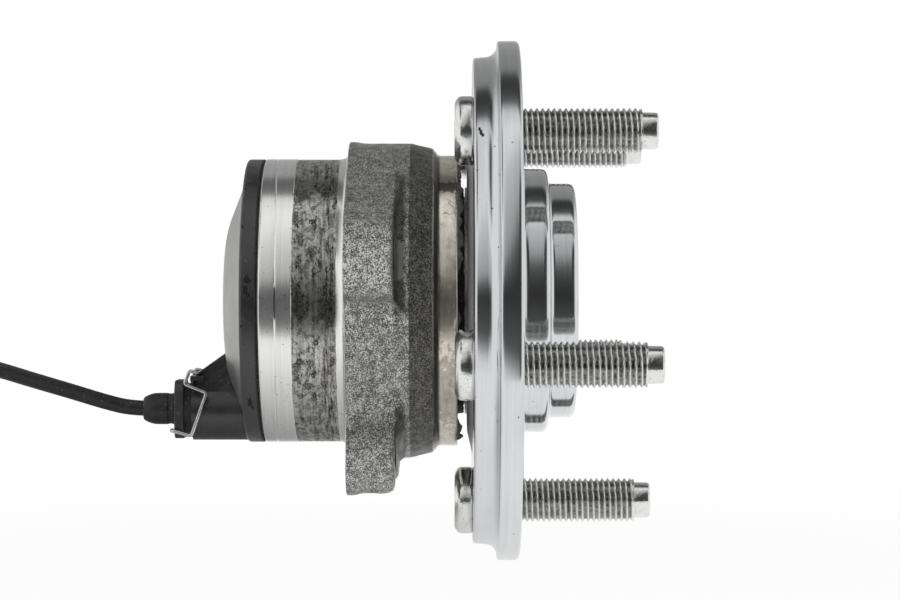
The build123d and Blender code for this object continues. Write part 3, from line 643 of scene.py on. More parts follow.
def forging_colour(bench, look, skin):
    """The blasted skin: bright grains on a dark ground, partly painted glints, brightened by a painted
    highlight on the upper lobe, with painted shade in the hollow beside the lobes and the neck darkened too."""
    patchy = bench.mask("Mottle", size=6.0, draw=1.0, low=0.35, high=0.65, seed=3.0)
    # Painted highlight: more and brighter glints on the upper lobe's side, fewer everywhere else.
    painted_highlight_spot = bench.spots([(79.0, 6.0, 24.0, 24.0)])
    share = bench.span(bench.built_up(painted_highlight_spot, (patchy, 0.35)), 0.0, 1.35, 0.76, 1.35, smooth=False)
    forging = bench.blend(bench.times(skin["Glint"], share), look.forged_steel, look.forged_glint)
    # Painted shade: the oil colour darkens the hollow beside the lobes, and it also darkens the neck.
    neck = bench.mask("Zone Along", start=16.2, end=22.6, soft=0.4, ragged=0.4)
    recess = bench.mask("Zone Along", start=12.2, end=22.6, soft=0.9, ragged=0.8)
    flared = bench.mask("Zone Across", start=42.7, end=60.0, soft=0.9, ragged=0.6)
    return bench.tinted(forging, (bench.most(neck, bench.times(recess, flared)), 0.66, look.oil))


def nose_colour(bench, look):
    """The aged outboard end: a pale skin with streaks, freckles and cracks, painted shade in the step where
    it meets the forging, and painted darker reflections on the lower side and near the top. Gives its colour
    and the cracks."""
    streaks = bench.mask("Mottle", size=0.9, draw=0.12, low=0.38, high=0.68, seed=14.0)
    clouds = bench.mask("Mottle", size=3.4, draw=0.9, low=0.46, high=0.70, seed=41.0)
    freckles = bench.mask("Specks", size=0.26, amount=0.20)
    cracks = bench.mask("Cracks", size=4.6, width=0.030, amount=0.44)
    # Painted shade in the step between the forging and the nose.
    edge = bench.mask("Zone Along", start=22.2, end=24.7, soft=0.9, ragged=0.5)
    # Painted darker reflection on the lower side of the nose.
    painted_lower_shade = bench.spots([(128.0, 27.0, 16.0, 24.0)], 0.4)
    # Painted dark reflection band near the top of the nose.
    shade = bench.spots([(41.0, 27.0, 16.0, 4.0)], 0.4)
    aged = bench.tinted(
        look.aged_nose,
        (streaks, 0.34, (0.42, 0.37, 0.30)),
        (clouds, 0.45, (0.26, 0.21, 0.16)),
        (freckles, 0.55, (0.14, 0.11, 0.08)),
        (cracks, 0.85, (0.05, 0.038, 0.03)),
        (edge, 0.94, (0.034, 0.026, 0.020)),
        (painted_lower_shade, 0.50, (0.17, 0.155, 0.13)),
        (shade, 0.75, (0.06, 0.052, 0.044)),
    )
    return aged, cracks


def ring_finish():
    """Outer ring: ground pilot with an oil-stained band, blasted forging, and an aged turned nose."""
    look = finishes()
    material, bench = new_material("Outer ring finish", 1.0)
    lines = bench.effect("Turning Lines", spacing=0.22, wander=1.2)
    skin = bench.effect("Blasted Skin", grain=0.33)
    forged = bench.mask("Zone Along", start=0.12, end=22.55, soft=0.12)
    nose = bench.mask("Zone Along", start=22.4, end=40.0, soft=0.12)
    banded = bench.mask("Zone Along", start=-13.95, end=-2.3, soft=0.18, ragged=0.5)
    worn, stain = stained_band(bench, look)
    stain = bench.times(stain, banded)
    aged, cracks = nose_colour(bench, look)
    base = bench.blend(banded, ground_colour(bench, look, lines), worn)
    base = bench.blend(forged, base, forging_colour(bench, look, skin))
    base = bench.blend(nose, base, aged)
    crests = bench.effect("Turning Lines", spacing=1.1, wander=0.2)["Lines"]
    threaded = bench.tinted((0.42, 0.42, 0.41), (crests, 0.85, (0.05, 0.05, 0.05)))
    base = bench.blend(bench.attribute("tapped"), base, threaded)
    rough = bench.built_up(0.16, (stain, 0.20), (forged, 0.12))
    rough = bench.built_up(rough, (nose, 0.03), clamp=True)
    fine_lines = (lines["Height"], bench.span(forged, 0.0, 1.0, 0.014, 0.0))
    sunk_cracks = (cracks, bench.times(nose, -0.3))
    height = bench.built_up(bench.times(skin["Height"], forged), fine_lines, sunk_cracks)
    bare = bench.minus(1.0, bench.most(forged, nose))
    metal = bench.minus(bench.span(nose, 0.0, 1.0, 1.0, 0.86), bench.times(bare, 0.14))
    dress(bench, base, rough, height, 0.34, metal)
    return material


# A dent in the flange's web, in three touching strokes: angle from the top, axial place, width and height.
FLANGE_DENT = ((48.6, 34.45, 0.7, 1.5), (49.6, 34.80, 0.8, 1.9), (50.5, 35.25, 0.8, 1.2))


def hub_finish():
    """Hub: bright turned steel with circular tool lines, faint stains, small pits near the top and a few
    nicks. The pilots are finer, and the boss beside the seal is duller."""
    look = finishes()
    material, bench = new_material("Hub finish", 1.0, anisotropic=0.35, anisotropic_rotation=0.25)
    tangent = bench.put("ShaderNodeTangent", direction_type="RADIAL", axis="Y").outputs[0]
    bench.feed(bench.shader.inputs["Tangent"], tangent)
    lines = bench.effect("Turning Lines", spacing=0.16, wander=1.5)
    bands = bench.effect("Turning Lines", spacing=0.9, wander=0.6)
    haze = bench.mask("Mottle", size=9.0, draw=0.6, low=0.35, high=0.75, seed=4.0)
    nicks = bench.most(bench.mask("Specks", size=0.5, amount=0.02), bench.spots(FLANGE_DENT, 0.08))
    pits = bench.mask("Specks", size=0.24, amount=0.30)
    pits = bench.times(pits, bench.spots([(33.0, 39.0, 17.0, 26.0)], 0.4))
    scuffs = bench.mask("Scuffs", size=4.0, amount=0.7, turn=1.9)
    pilots = bench.mask("Zone Along", start=45.7, end=70.0, soft=0.2)
    boss = bench.mask("Zone Along", start=31.5, end=33.05, soft=0.1)
    base = bench.tinted(
        look.turned_steel,
        (lines["Lines"], 0.16, (0.46, 0.47, 0.48)),
        (bands["Lines"], 0.14, (0.50, 0.50, 0.51)),
        (haze, 0.14, (0.40, 0.40, 0.39)),
        (scuffs, 0.4, (0.28, 0.28, 0.28)),
        (pits, 0.6, look.oil),
        (nicks, 0.94, (0.008, 0.008, 0.008)),
        (boss, 0.6, (0.46, 0.46, 0.48)),
    )
    rough = bench.built_up(0.11, (haze, 0.04), (lines["Lines"], 0.03), (pilots, -0.03), (boss, 0.35))
    metal = bench.span(boss, 0.0, 1.0, 1.0, 0.4)
    dress(bench, base, rough, bench.plus(lines["Height"], bands["Height"]), 0.004, metal)
    return material


def stud_finish():
    """Studs: bright zinc with painted shade in the thread roots, its strength varied by noise, glossy with
    small black specks on points and heads.
    """
    look = finishes()
    material, bench = new_material("Stud finish", 1.0)
    cloud = bench.mask("Mottle", size=2.6, draw=1.0, low=0.44, high=0.64, seed=2.0)
    spots = bench.mask("Specks", size=0.28, amount=0.22)
    plain = bench.attribute("plain_end")
    root_shade_strength = bench.span(bench.noise(bench.millimetres(), 1.3, 4.0, 0.7), 0.42, 0.62, 0.45, 0.95)
    base = bench.tinted(
        look.zinc,
        # Painted shade in the thread roots, stronger or weaker by noise.
        (bench.attribute("thread_root"), root_shade_strength, (0.06, 0.062, 0.06)),
        (cloud, 0.16, (0.40, 0.41, 0.40)),
        (bench.times(spots, plain), 0.85, look.oil),
    )
    rough = bench.built_up(bench.span(plain, 0.0, 1.0, 0.17, 0.11), (cloud, 0.10))
    dress(bench, base, rough, bench.noise(bench.millimetres(), 1.6, 4.0, 0.6), 0.05)
    return material


def dome_finish():
    """Cap dome: satin pressed steel with soft cloudy bands, small pits and fine scratches."""
    material, bench = new_material("Dome finish", 1.0)
    cloud = bench.mask("Mottle", size=8.0, draw=0.35, low=0.30, high=0.70, seed=6.0)
    pits = bench.mask("Specks", size=0.35, amount=0.10)
    scuffs = bench.mask("Scuffs", size=2.2, amount=0.7, turn=2.5)
    base = bench.tinted(
        finishes().cap_steel,
        (cloud, 0.35, (0.42, 0.43, 0.43)),
        (scuffs, 0.4, (0.75, 0.75, 0.75)),
        (pits, 0.6, (0.12, 0.11, 0.10)),
    )
    height = bench.built_up(bench.noise(bench.millimetres(), 1.6, 4.0, 0.6), (pits, -1.0))
    dress(bench, base, bench.built_up(0.36, (cloud, 0.12)), height, 0.03)
    return material


# Dull black chips on the cap's ring: angle from the top in degrees, then axial place, width and height in mm.
CAP_CHIPS = (
    (82.0, -25.2, 2.0, 2.6),
    (85.5, -25.6, 1.6, 3.4),
    (88.0, -24.9, 1.0, 1.6),
    (134.0, -25.2, 1.2, 3.0),
    (60.0, -26.6, 0.5, 1.2),
    (40.0, -26.5, 0.5, 1.0),
    (100.0, -26.7, 0.5, 1.0),
    (137.0, -24.6, 0.8, 1.6),
)


def moulded_finish(name, base_colour, gloss=0.29, wear=0.6, chips=()):
    """Black moulded plastic: fine pebble, dusty patches, pale scuffs, worn specks and dull black chips."""
    material, bench = new_material(name)
    bench.shader.inputs["IOR"].default_value = 1.72
    pebble = bench.noise(bench.millimetres(), 5.0, 2.0, 0.6)
    dust = bench.mask("Mottle", size=4.5, draw=1.0, low=0.42, high=0.72, seed=8.0)
    scuffs = bench.mask("Scuffs", size=1.6, amount=1.0, turn=1.1)
    nicks = bench.mask("Specks", size=0.35, amount=0.12)
    base = bench.tinted(
        base_colour,
        (dust, 0.25 * wear, (0.12, 0.115, 0.11)),
        (scuffs, 0.45 * wear, (0.30, 0.29, 0.28)),
        (nicks, 0.6 * wear, (0.24, 0.23, 0.22)),
    )
    rough = bench.built_up(gloss, (dust, 0.20))
    height = bench.built_up(pebble, (scuffs, 0.6))
    for chip_place in chips:
        chip = bench.spots([chip_place], 0.30)
        base = bench.blend(chip, base, (0.002, 0.002, 0.002))
        rough = bench.most(rough, bench.times(chip, 0.95))
        height = bench.built_up(height, (chip, -3.0))
    dress(bench, base, rough, height, 0.035)
    return material


def rubber_finish(name, base_colour, bloom=(0.09, 0.088, 0.085), specks=0.10, gloss=0.52):
    """Rubber or soft jacket: dull, with a pale bloom, dust specks and a fine grain."""
    material, bench = new_material(name)
    grain = bench.noise(bench.millimetres(), 4.0, 3.0, 0.6)
    cloud = bench.mask("Mottle", size=3.0, draw=1.0, low=0.40, high=0.75, seed=11.0)
    dots = bench.mask("Specks", size=0.30, amount=specks)
    base = bench.tinted(base_colour, (cloud, 0.35, bloom), (dots, 0.7, (0.30, 0.29, 0.27)))
    dress(bench, base, bench.built_up(gloss, (cloud, 0.15)), grain, 0.04)
    return material


def bright_finish(name, base_colour, gloss=0.18, stain=0.25, size=2.0):
    """Drawn, pressed or polished metal: cloudy gloss, faint lines and small stains."""
    material, bench = new_material(name, 1.0)
    cloud = bench.mask("Mottle", size=size, draw=1.0, low=0.42, high=0.70, seed=5.0)
    scuffs = bench.mask("Scuffs", size=size, amount=0.8, turn=0.3)
    base = bench.tinted(base_colour, (cloud, stain, (0.16, 0.14, 0.12)), (scuffs, 0.3, (0.25, 0.25, 0.25)))
    grain = bench.noise(bench.millimetres(), 3.0, 3.0, 0.6)
    dress(bench, base, bench.built_up(gloss, (cloud, 0.15)), grain, 0.01)
    return material


# ---- Pieces ---------------------------------------------------------------------------------------

PILOT_R, COLLAR_R, NECK_R, NOSE_R = 38.25, 42.45, 41.0, 39.2
RING_START, NOSE_END, SEAL_BORE_R, INNER_BORE_R = -23.0, 29.0, 35.4, 34.62
LOBE_ANGLES = (76.5, 147.0, -147.0, -76.5)
BOLT_CIRCLE_R, TAP_R, LOBE_R, LOBE_ROOT_R, LOBE_BLEND_R = 47.0, 5.25, 11.0, 42.2, 9.0
LOBE_END, COLLAR_END, FLARE_R = 12.7, 16.4, 48.45
FLARE_SHARES = (0.62, 0.44, 0.30, 0.18, 0.08)
TAP_DEPTH, TAP_START, TAP_STOP = 0.65, -2.0, 14.9
TAPPED_REACH, TAPPED_FROM, TAPPED_TO = 0.7, 0.3, 15.0
RACE_R = 6.15
WHEEL_FACE, HUB_RIM_R, DISC_PILOT_R, DISC_PILOT_END = 45.5, 70.0, 35.6, 53.2
WHEEL_PILOT_R, WHEEL_PILOT_END = 31.65, 60.5
FLANGE_BACK, BOSS_FACE, RECESS_FLOOR = 33.1, 31.6, 38.5
SPINDLE_R, INNER_RING_SEAT_R, ROLLED_R, SPINDLE_HOLE_R = 22.3, 17.5, 21.5, 11.0
SPINDLE_END, SPINDLE_HOLE_FLOOR = -20.3, -16.3
STUD_CIRCLE_R, FIRST_STUD, STUDS, STUD_TWIST = 54.0, 35.45, 5, 1.7
GREASE_R, GREASE_FOOT = 38.35, 28.9


def lobe_outline(angles):
    """Radius of the forging's outline at each angle: the lobe's own circle, then the hollow circle that
    touches both it and the root circle, then the root. A ray at angle t meets a circle of radius R, D away,
    at D cos t + or - sqrt(R^2 - D^2 sin^2 t). Above the upper lobes the outline is the straight line that
    touches root and lobe, the root's radius / cos(t - its angle)."""
    middles = np.radians(np.array(LOBE_ANGLES))[:, None]
    away = np.abs((angles[None] - middles + math.pi) % FULL_TURN - math.pi)
    hollow = LOBE_ROOT_R + LOBE_BLEND_R
    reach = LOBE_R + LOBE_BLEND_R
    side = math.acos((hollow**2 + BOLT_CIRCLE_R**2 - reach**2) / (2 * hollow * BOLT_CIRCLE_R))
    share = LOBE_R / reach
    touch = math.atan2(
        share * hollow * math.sin(side), BOLT_CIRCLE_R + share * (hollow * math.cos(side) - BOLT_CIRCLE_R)
    )
    lobe = np.sqrt(np.maximum(LOBE_R**2 - (BOLT_CIRCLE_R * np.sin(away)) ** 2, 0))
    dip = np.sqrt(np.maximum(LOBE_BLEND_R**2 - (hollow * np.sin(away - side)) ** 2, 0))
    r = np.where(away < touch, BOLT_CIRCLE_R * np.cos(away) + lobe, hollow * np.cos(away - side) - dip)
    r = np.where(away < side, r, LOBE_ROOT_R).max(axis=0)
    flank = middles[0, 0] - math.acos((LOBE_ROOT_R - LOBE_R) / BOLT_CIRCLE_R)
    past = np.minimum(angles, FULL_TURN - angles) - flank
    end = math.atan2(math.sqrt(BOLT_CIRCLE_R**2 - (LOBE_ROOT_R - LOBE_R) ** 2), LOBE_ROOT_R)
    straight = LOBE_ROOT_R / np.cos(np.clip(past, 0.0, end))
    return np.where((past > 0.0) & (past < end), np.maximum(r, straight), r)


def flare_place(r):
    """Axial place of the lobes' outboard side at radius r: flat, then an arc up to the collar's edge."""
    rise, reach = COLLAR_END - LOBE_END, FLARE_R - COLLAR_R
    radius = (rise**2 + reach**2) / (2 * rise)
    return LOBE_END + radius - np.sqrt(radius**2 - np.clip(FLARE_R - r, 0.0, reach) ** 2)


def even_angles(count):
    """Angles spread evenly along the lobed outline, from the length of its line."""
    fine = np.linspace(0, FULL_TURN, 7200)
    r = lobe_outline(fine)
    step = np.hypot(np.diff(r), r[:-1] * np.diff(fine))
    along = np.concatenate([[0], np.cumsum(step)])
    return np.interp(np.linspace(0, along[-1], count, endpoint=False), along, fine)


def threaded_rod(stations, radii, depth, pitch, columns=48):
    """Rows round the Y axis. Where depth is over 0 the radius falls by depth times a flat-topped triangle
    wave of y / pitch - turn, which winds as a right-hand thread. Gives the points and how deep each lies."""
    turn = np.arange(columns) / columns
    wave = np.abs(2 * ((stations[:, None] / pitch - turn[None]) % 1.0) - 1)
    root = 1 - np.clip((wave - 0.08) / 0.84, 0, 1)
    r = radii[:, None] - depth[:, None] * root
    angle = FULL_TURN * turn
    points = np.stack([r * np.sin(angle), stations[:, None] + 0 * r, r * np.cos(angle)], axis=-1)
    return points, root * (depth[:, None] > 0.3 * depth.max())


def ring_outline(angles):
    """The outer ring's closed outline for each column. A radius of 0 in the list stands for the lobed
    outline, and the groove in the pilot wanders along the axis with the sine of the angle."""
    front = [(37.5, RING_START, 0.25), (PILOT_R, -22.25, 0.25)]
    front += [(PILOT_R, -19.65, 0.02), (PILOT_R - 0.14, -19.42, 0.04), (PILOT_R, -19.19, 0.02)]
    front += [(PILOT_R, -13.98, 0.03), (PILOT_R - 0.12, -13.84, 0.03), (PILOT_R - 0.12, -2.4, 0.7)]
    front += [(PILOT_R + 0.55, -0.5, 0.5), (40.0, 0.0, 0.6), (0.0, 0.0, 0.40)]
    front += [(0.0, 2.2, 0.8), (0.0, 3.8, 0.8), (0.0, LOBE_END, 2.8)]
    front += [(0.0, LOBE_END, 1.0)] * len(FLARE_SHARES)
    front += [(COLLAR_R, COLLAR_END, 1.0), (NECK_R, 22.4, 0.5), (NOSE_R, 23.9, 0.35), (NOSE_R, NOSE_END, 0.5)]
    front += [(SEAL_BORE_R, NOSE_END, 0.3), (SEAL_BORE_R, 24.0, 0.2), (INNER_BORE_R, 24.0, 0.1)]
    bore = arc_points((28.366, 17.605), RACE_R, 0.0, -61.5) + arc_points((28.366, -8.605), RACE_R, 61.5, 0.0)
    back = [(INNER_BORE_R, -9.0, 0.1), (INNER_BORE_R, -18.4, 0.1)]
    back += [(34.9, -18.4, 0.1), (34.9, RING_START, 0.3)]
    corners = columns_of(front + bore + back, len(angles))
    lobes = np.maximum(lobe_outline(angles), COLLAR_R)
    flash = np.where(corners[:, :1, 1] < 3.0, 0.42, 0.0)
    flared = len(front) - 7 - len(FLARE_SHARES) + np.arange(len(FLARE_SHARES))
    corners[..., 0] = np.where(corners[..., 0] == 0.0, lobes + flash, corners[..., 0])
    corners[flared, :, 0] = COLLAR_R + (lobes - COLLAR_R) * np.array(FLARE_SHARES)[:, None]
    outboard = np.append(flared[0] - 1, flared)
    corners[outboard, :, 1] = flare_place(corners[outboard, :, 0])
    corners[2:5, :, 1] += 1.3 * np.sin(angles)
    return spaced(distinct(eased(corners, 5)), 0.62)


def make_outer_ring():
    """The forged outer ring, with its raceways, lobes and threaded holes."""
    angles = even_angles(560)
    outline = ring_outline(angles)
    points = turned(outline, angles)
    y, r = outline[..., 1], outline[..., 0]
    skin = smooth_step(0.05, 1.2, y) * smooth_step(23.2, 22.0, y) * smooth_step(39.5, 40.5, r)
    relief = sizes().forging_relief / MM
    waves = value_noise(points, 5.5, 1)
    for share, size, seed in ((0.55, 2.2, 2), (0.30, 1.0, 3)):
        waves = waves + share * value_noise(points, size, seed)
    points = points + grid_normals(points) * (relief * skin * waves)[..., None]
    finish = ring_finish()
    ring = make_piece(
        "ring_forging", points, grid_faces(*r.shape), finish, "housing", ["outer_ring"], 40.0
    )
    cut_tapped_holes(ring)


def cut_tapped_holes(ring):
    """Cuts a threaded rod out of each lobe, marks the walls and shades the new mesh."""
    pitch = sizes().tap_pitch / MM
    stations = np.arange(TAP_START, TAP_STOP, pitch / 6)
    crest, depth = np.full(len(stations), TAP_R + TAP_DEPTH), np.full(len(stations), TAP_DEPTH)
    rod = threaded_rod(stations, crest, depth, pitch, 40)[0]
    rod = np.concatenate([rod[:1] * (0, 1, 0), rod, rod[-1:] * (0, 1, 0)])
    middles = [BOLT_CIRCLE_R * np.array([math.sin(a), 0, math.cos(a)]) for a in np.radians(LOBE_ANGLES)]
    faces = grid_faces(*rod.shape[:2], close_rows=False)
    faces = np.concatenate([faces + i * rod[..., 0].size for i in range(len(middles))])
    tool = np.concatenate([run_out(rod, middle) + middle for middle in middles])
    cutter = make_piece("tap_cutter", tool, faces, ring.active_material, "housing")
    cut = ring.modifiers.new("Tapped holes", "BOOLEAN")
    cut.operation = "DIFFERENCE"
    cut.object = cutter
    cut.solver = "EXACT"
    made = bpy.data.meshes.new_from_object(ring.evaluated_get(bpy.context.evaluated_depsgraph_get()))
    ring.modifiers.clear()
    ring.data = made
    mark_tapped(made, middles)
    made.polygons.foreach_set("use_smooth", np.ones(len(made.polygons), bool))
    made.set_sharp_from_angle(angle=math.radians(38.0))
    bpy.data.objects.remove(cutter)


def run_out(rod, middle):
    """The tap's run-out past the lobe. What lies beyond the lobe's face keeps a share of its length: a
    twentieth, and half of (cos a - 0.72) / 0.28 held from 0 to 1, with a the angle from the hub's side."""
    toward = -(rod @ middle) / np.maximum(np.linalg.norm(rod * (1, 0, 1), axis=-1), 1e-6) / BOLT_CIRCLE_R
    past = np.maximum(rod[..., 1] - LOBE_END - 0.1, 0.0)
    shortened = rod.copy()
    shortened[..., 1] -= past * (0.95 - 0.5 * np.clip((toward - 0.72) / 0.28, 0.0, 1.0))
    return shortened


def mark_tapped(mesh, middles):
    """Marks the points near a tapped hole's axis: the holes' walls, and the flare close beside the holes."""
    x, y, z = point_places(mesh).T / MM
    away = np.min([np.hypot(x - middle[0], z - middle[2]) for middle in middles], axis=0)
    marked = (away < TAP_R + TAPPED_REACH) & (y > TAPPED_FROM) & (y < TAPPED_TO)
    layer = mesh.attributes.new("tapped", "FLOAT", "POINT")
    layer.data.foreach_set("value", marked.astype(np.float32))


def make_hub():
    """The hub forging: spindle, raceway, flange, boss and both pilots as one turned outline."""
    outline = [(0.0, RECESS_FLOOR, 0.0), (17.0, RECESS_FLOOR, 1.2), (27.2, WHEEL_PILOT_END, 0.6)]
    outline += [(WHEEL_PILOT_R, WHEEL_PILOT_END, 1.9), (WHEEL_PILOT_R, DISC_PILOT_END, 1.2)]
    outline += [(DISC_PILOT_R, DISC_PILOT_END, 1.9), (DISC_PILOT_R, WHEEL_FACE, 2.1)]
    outline += [(HUB_RIM_R, WHEEL_FACE, 1.5), (HUB_RIM_R, 39.6, 0.9)]
    outline += arc_points((69.0, 36.3), 3.3, 90.0, 180.0)
    outline += [(65.45, FLANGE_BACK, 0.9), (41.9, FLANGE_BACK, 0.6), (35.4, BOSS_FACE, 0.4)]
    outline += [(27.5, BOSS_FACE, 0.3), (27.5, 25.4, 0.2), (26.0, 25.0, 0.2), (26.0, 22.95, 0.1)]
    outline += arc_points((28.634, 17.395), RACE_R, 115.4, 180.0, 8)
    outline += [(SPINDLE_R, 17.2, 0.1), (SPINDLE_R, 4.5, 0.3)]
    outline += [(INNER_RING_SEAT_R, 4.5, 0.3), (INNER_RING_SEAT_R, -17.5, 0.2)]
    outline += [(ROLLED_R, -17.5, 0.3), (ROLLED_R, -18.9, 0.8), (20.1, SPINDLE_END, 0.8)]
    outline += [(SPINDLE_HOLE_R, SPINDLE_END, 0.8), (SPINDLE_HOLE_R, SPINDLE_HOLE_FLOOR, 0.8)]
    outline += [(0.0, SPINDLE_HOLE_FLOOR, 0.0)]
    _, points, faces = turned_surface(outline, 288, 6)
    make_piece("hub_forging", points, faces, hub_finish(), "rotor", ["hub_flange"], 30.0)


# Axial place and radius of a stud's head, shank and dog point. The thread lies between shank and point.
STUD_HEAD = ((28.2, 0.0), (28.2, 6.9), (28.25, 7.3), (28.45, 7.7), (29.0, 8.55), (29.4, 8.85), (30.0, 9.0))
STUD_HEAD += ((32.4, 9.0), (32.9, 8.85), (33.1, 8.6), (33.1, 6.25))
STUD_SHANK = ((45.2, 6.25), (45.4, 6.1), (45.5, 5.95))
STUD_POINT = ((76.3, 5.62), (76.35, 5.66), (76.65, 5.66), (76.7, 5.5), (76.85, 4.8))
STUD_POINT += ((80.2, 4.75), (80.55, 4.65), (80.8, 4.45), (80.9, 4.2), (80.9, 0.0))
THREAD_START, THREAD_STOP, THREAD_END, THREAD_R = 45.6, 76.2, 76.25, 5.93


def make_studs():
    """Five wheel studs with rounded heads, plain shanks, rolled threads and plain dog points."""
    pitch = sizes().thread_pitch / MM
    depth = sizes().thread_depth / MM
    thread = [(station, THREAD_R) for station in np.arange(THREAD_START, THREAD_STOP, pitch / 12)]
    y, r = np.concatenate([STUD_HEAD, STUD_SHANK, thread, STUD_POINT]).T
    cut = depth * smooth_step(45.5, 46.0, y) * smooth_step(THREAD_END, 75.7, y)
    r = r - 0.28 * smooth_step(75.4, 76.2, y) * (y < THREAD_END)
    rod, root = threaded_rod(y, r, cut, pitch, 48)
    plain = np.where((y < STUD_SHANK[0][0]) | (y > THREAD_END), 1.0, 0.0)[:, None] + 0 * root
    placed, faces = [], []
    for i, angle in enumerate(np.radians(FIRST_STUD + 360.0 / STUDS * np.arange(STUDS))):
        c, s = math.cos(STUD_TWIST * i), math.sin(STUD_TWIST * i)
        across, up = rod[..., 0] * c + rod[..., 2] * s, rod[..., 2] * c - rod[..., 0] * s
        spun = np.stack([across, rod[..., 1], up], axis=-1)
        placed.append(spun + STUD_CIRCLE_R * np.array([math.sin(angle), 0, math.cos(angle)]))
        faces.append(grid_faces(*rod.shape[:2], close_rows=False) + i * root.size)
    marks = {"thread_root": np.tile(root, (STUDS, 1, 1)), "plain_end": np.tile(plain, (STUDS, 1, 1))}
    points, faces = np.concatenate(placed), np.concatenate(faces)
    make_piece(
        "threaded_studs", points, faces, stud_finish(), "rotor", ["wheel_studs"], 40.0, marks
    )


def make_dome():
    """The pressed dome: a shallow cone round a flat, with its skirt, at one sheet thickness."""
    outline = [(0.0, -33.32, 0.0), (18.6, -33.32, 4.5), (33.6, -27.4, 1.2), (34.9, -27.3, 0.6)]
    outline += [(34.9, -18.7, 0.2), (34.1, -18.7, 0.2), (34.1, -26.3, 0.8), (18.4, -32.52, 4.2)]
    outline += [(0.0, -32.52, 0.0)]
    made, points, faces = turned_surface(outline, 192, 9, 1.5)
    hollow = value_noise(points * np.array([1, 0, 1]), 13.0, 5) * smooth_step(33.0, 26.0, made[..., 0])
    points[..., 1] += 0.07 * hollow
    make_piece("pressed_dome", points, faces, dome_finish(), "housing", ["cap_dome"])


def make_moulded_pieces():
    """Cap ring with socket, plug housing, coil tie and the lead's connector, with eased moulded edges."""
    look, edge = finishes(), sizes().moulded_edge
    black = moulded_finish("Cap moulding", look.moulding, chips=CAP_CHIPS)
    softened("cap_body", "cap_moulding", black, "housing", edge)
    plug = moulded_finish("Plug moulding", look.moulding, 0.42)
    softened("plug_housing", "plug_moulding", plug, "housing", edge)
    softened("lead_connector", "connector_moulding", plug, "housing", edge)
    tie = moulded_finish("Tie plastic", (0.03, 0.03, 0.032), 0.45)
    softened("coil_tie", "coil_band", tie, "housing", 0.12 * MM)


def make_seal():
    """The seal's rubber, moulded over its case, with a lip on the slinger's sleeve and one on its flange."""
    outline = [(28.45, 24.0, 0.2), (31.0, 24.0, 0.1), (31.0, 24.6, 0.1), (32.6, 24.6, 0.2), (32.6, 25.6, 0.3)]
    outline += [(31.0, 25.6, 0.3), (30.4, 30.65, 0.2), (29.6, 30.65, 0.2), (29.4, 25.6, 0.3)]
    made, points, faces = turned_surface(outline, 360, 4, 0.6)
    lumps = 0.12 * value_noise(points, 1.1, 8) * smooth_step(25.8, 27.0, made[..., 1])
    points = points + grid_normals(points) * lumps[..., None]
    rubber = rubber_finish("Seal rubber", finishes().rubber)
    make_piece("seal_rubber_ring", points, faces, rubber, "housing", ["seal_lip"])


# Crumbs of old grease on the end of the nose: angle from the top and spread in degrees, and how far they
# stand out in millimetres.
GREASE = ((41, 4, 1.5), (50, 5, 1.8), (58, 3, 1.3), (66, 5, 1.7), (74, 4, 1.4), (97, 3, 0.9), (112, 4, 1.2))
GREASE += ((23, 6, 1.0), (31, 6, 1.15), (329, 6, 1.15), (337, 6, 1.0), (152, 5, 1.3), (160, 3, 1.6))
GREASE += ((204, 6, 1.2), (238, 4, 1.5), (262, 7, 1.1), (303, 5, 1.4), (341, 6, 1.2))


def make_grease():
    """A ragged bead of old grease pressed out round the seal. Its height at an angle is the highest of the
    crumbs' bells, h exp(-(a / spread)^2), and noise breaks it up."""
    angles = np.linspace(0, FULL_TURN, 900, endpoint=False)
    middle, spread, height = np.array(GREASE).T[..., None]
    apart = np.abs((np.degrees(angles)[None] - middle + 180.0) % 360.0 - 180.0)
    stand = (height * np.exp(-((apart / spread) ** 2))).max(axis=0)
    round_place = np.linspace(0, FULL_TURN, 14, endpoint=False)[:, None]
    stand = np.maximum(stand[None] + 0.0 * round_place, 0.04)
    r = GREASE_R + (0.12 + 0.42 * np.minimum(stand, 1.2)) * np.cos(round_place)
    y = GREASE_FOOT + np.where(np.sin(round_place) > 0, stand, 0.1) * np.sin(round_place)
    points = turned(np.stack([r, y], axis=-1), angles)
    lumps = value_noise(points, 0.9, 12) + 0.7 * value_noise(points, 0.42, 13)
    points = points + grid_normals(points) * (0.30 * lumps * smooth_step(0.2, 1.0, stand))[..., None]
    grease = rubber_finish("Old grease", (0.075, 0.065, 0.052), (0.34, 0.31, 0.27), 0.3, 0.5)
    make_piece("grease_crumbs", points, grid_faces(*r.shape), grease, "housing")


PLUG_AXIS_Z = -29.25


def make_boot():
    """The plug's boot: a short sleeve with a rounded shoulder and a taper down to the lead."""
    outline = [(0.0, -45.5, 0.0), (3.0, -45.5, 0.1), (3.0, -47.0, 0.1), (4.25, -47.0, 0.3)]
    outline += [(4.25, -47.9, 0.2), (4.1, -48.2, 0.2), (4.1, -49.0, 0.2), (4.25, -49.3, 0.2)]
    outline += [(4.25, -53.4, 1.4), (3.1, -55.9, 0.8), (2.15, -56.0, 0.2), (2.15, -51.5, 0.1)]
    outline += [(0.0, -51.5, 0.0)]
    _, points, faces = turned_surface(outline, 64, 5)
    boot = rubber_finish("Boot rubber", finishes().rubber, specks=0.16, gloss=0.45)
    points = points + np.array([0.0, 0.0, PLUG_AXIS_Z])
    return make_piece("plug_sleeve", points, faces, boot, "housing", ["plug_boot"])


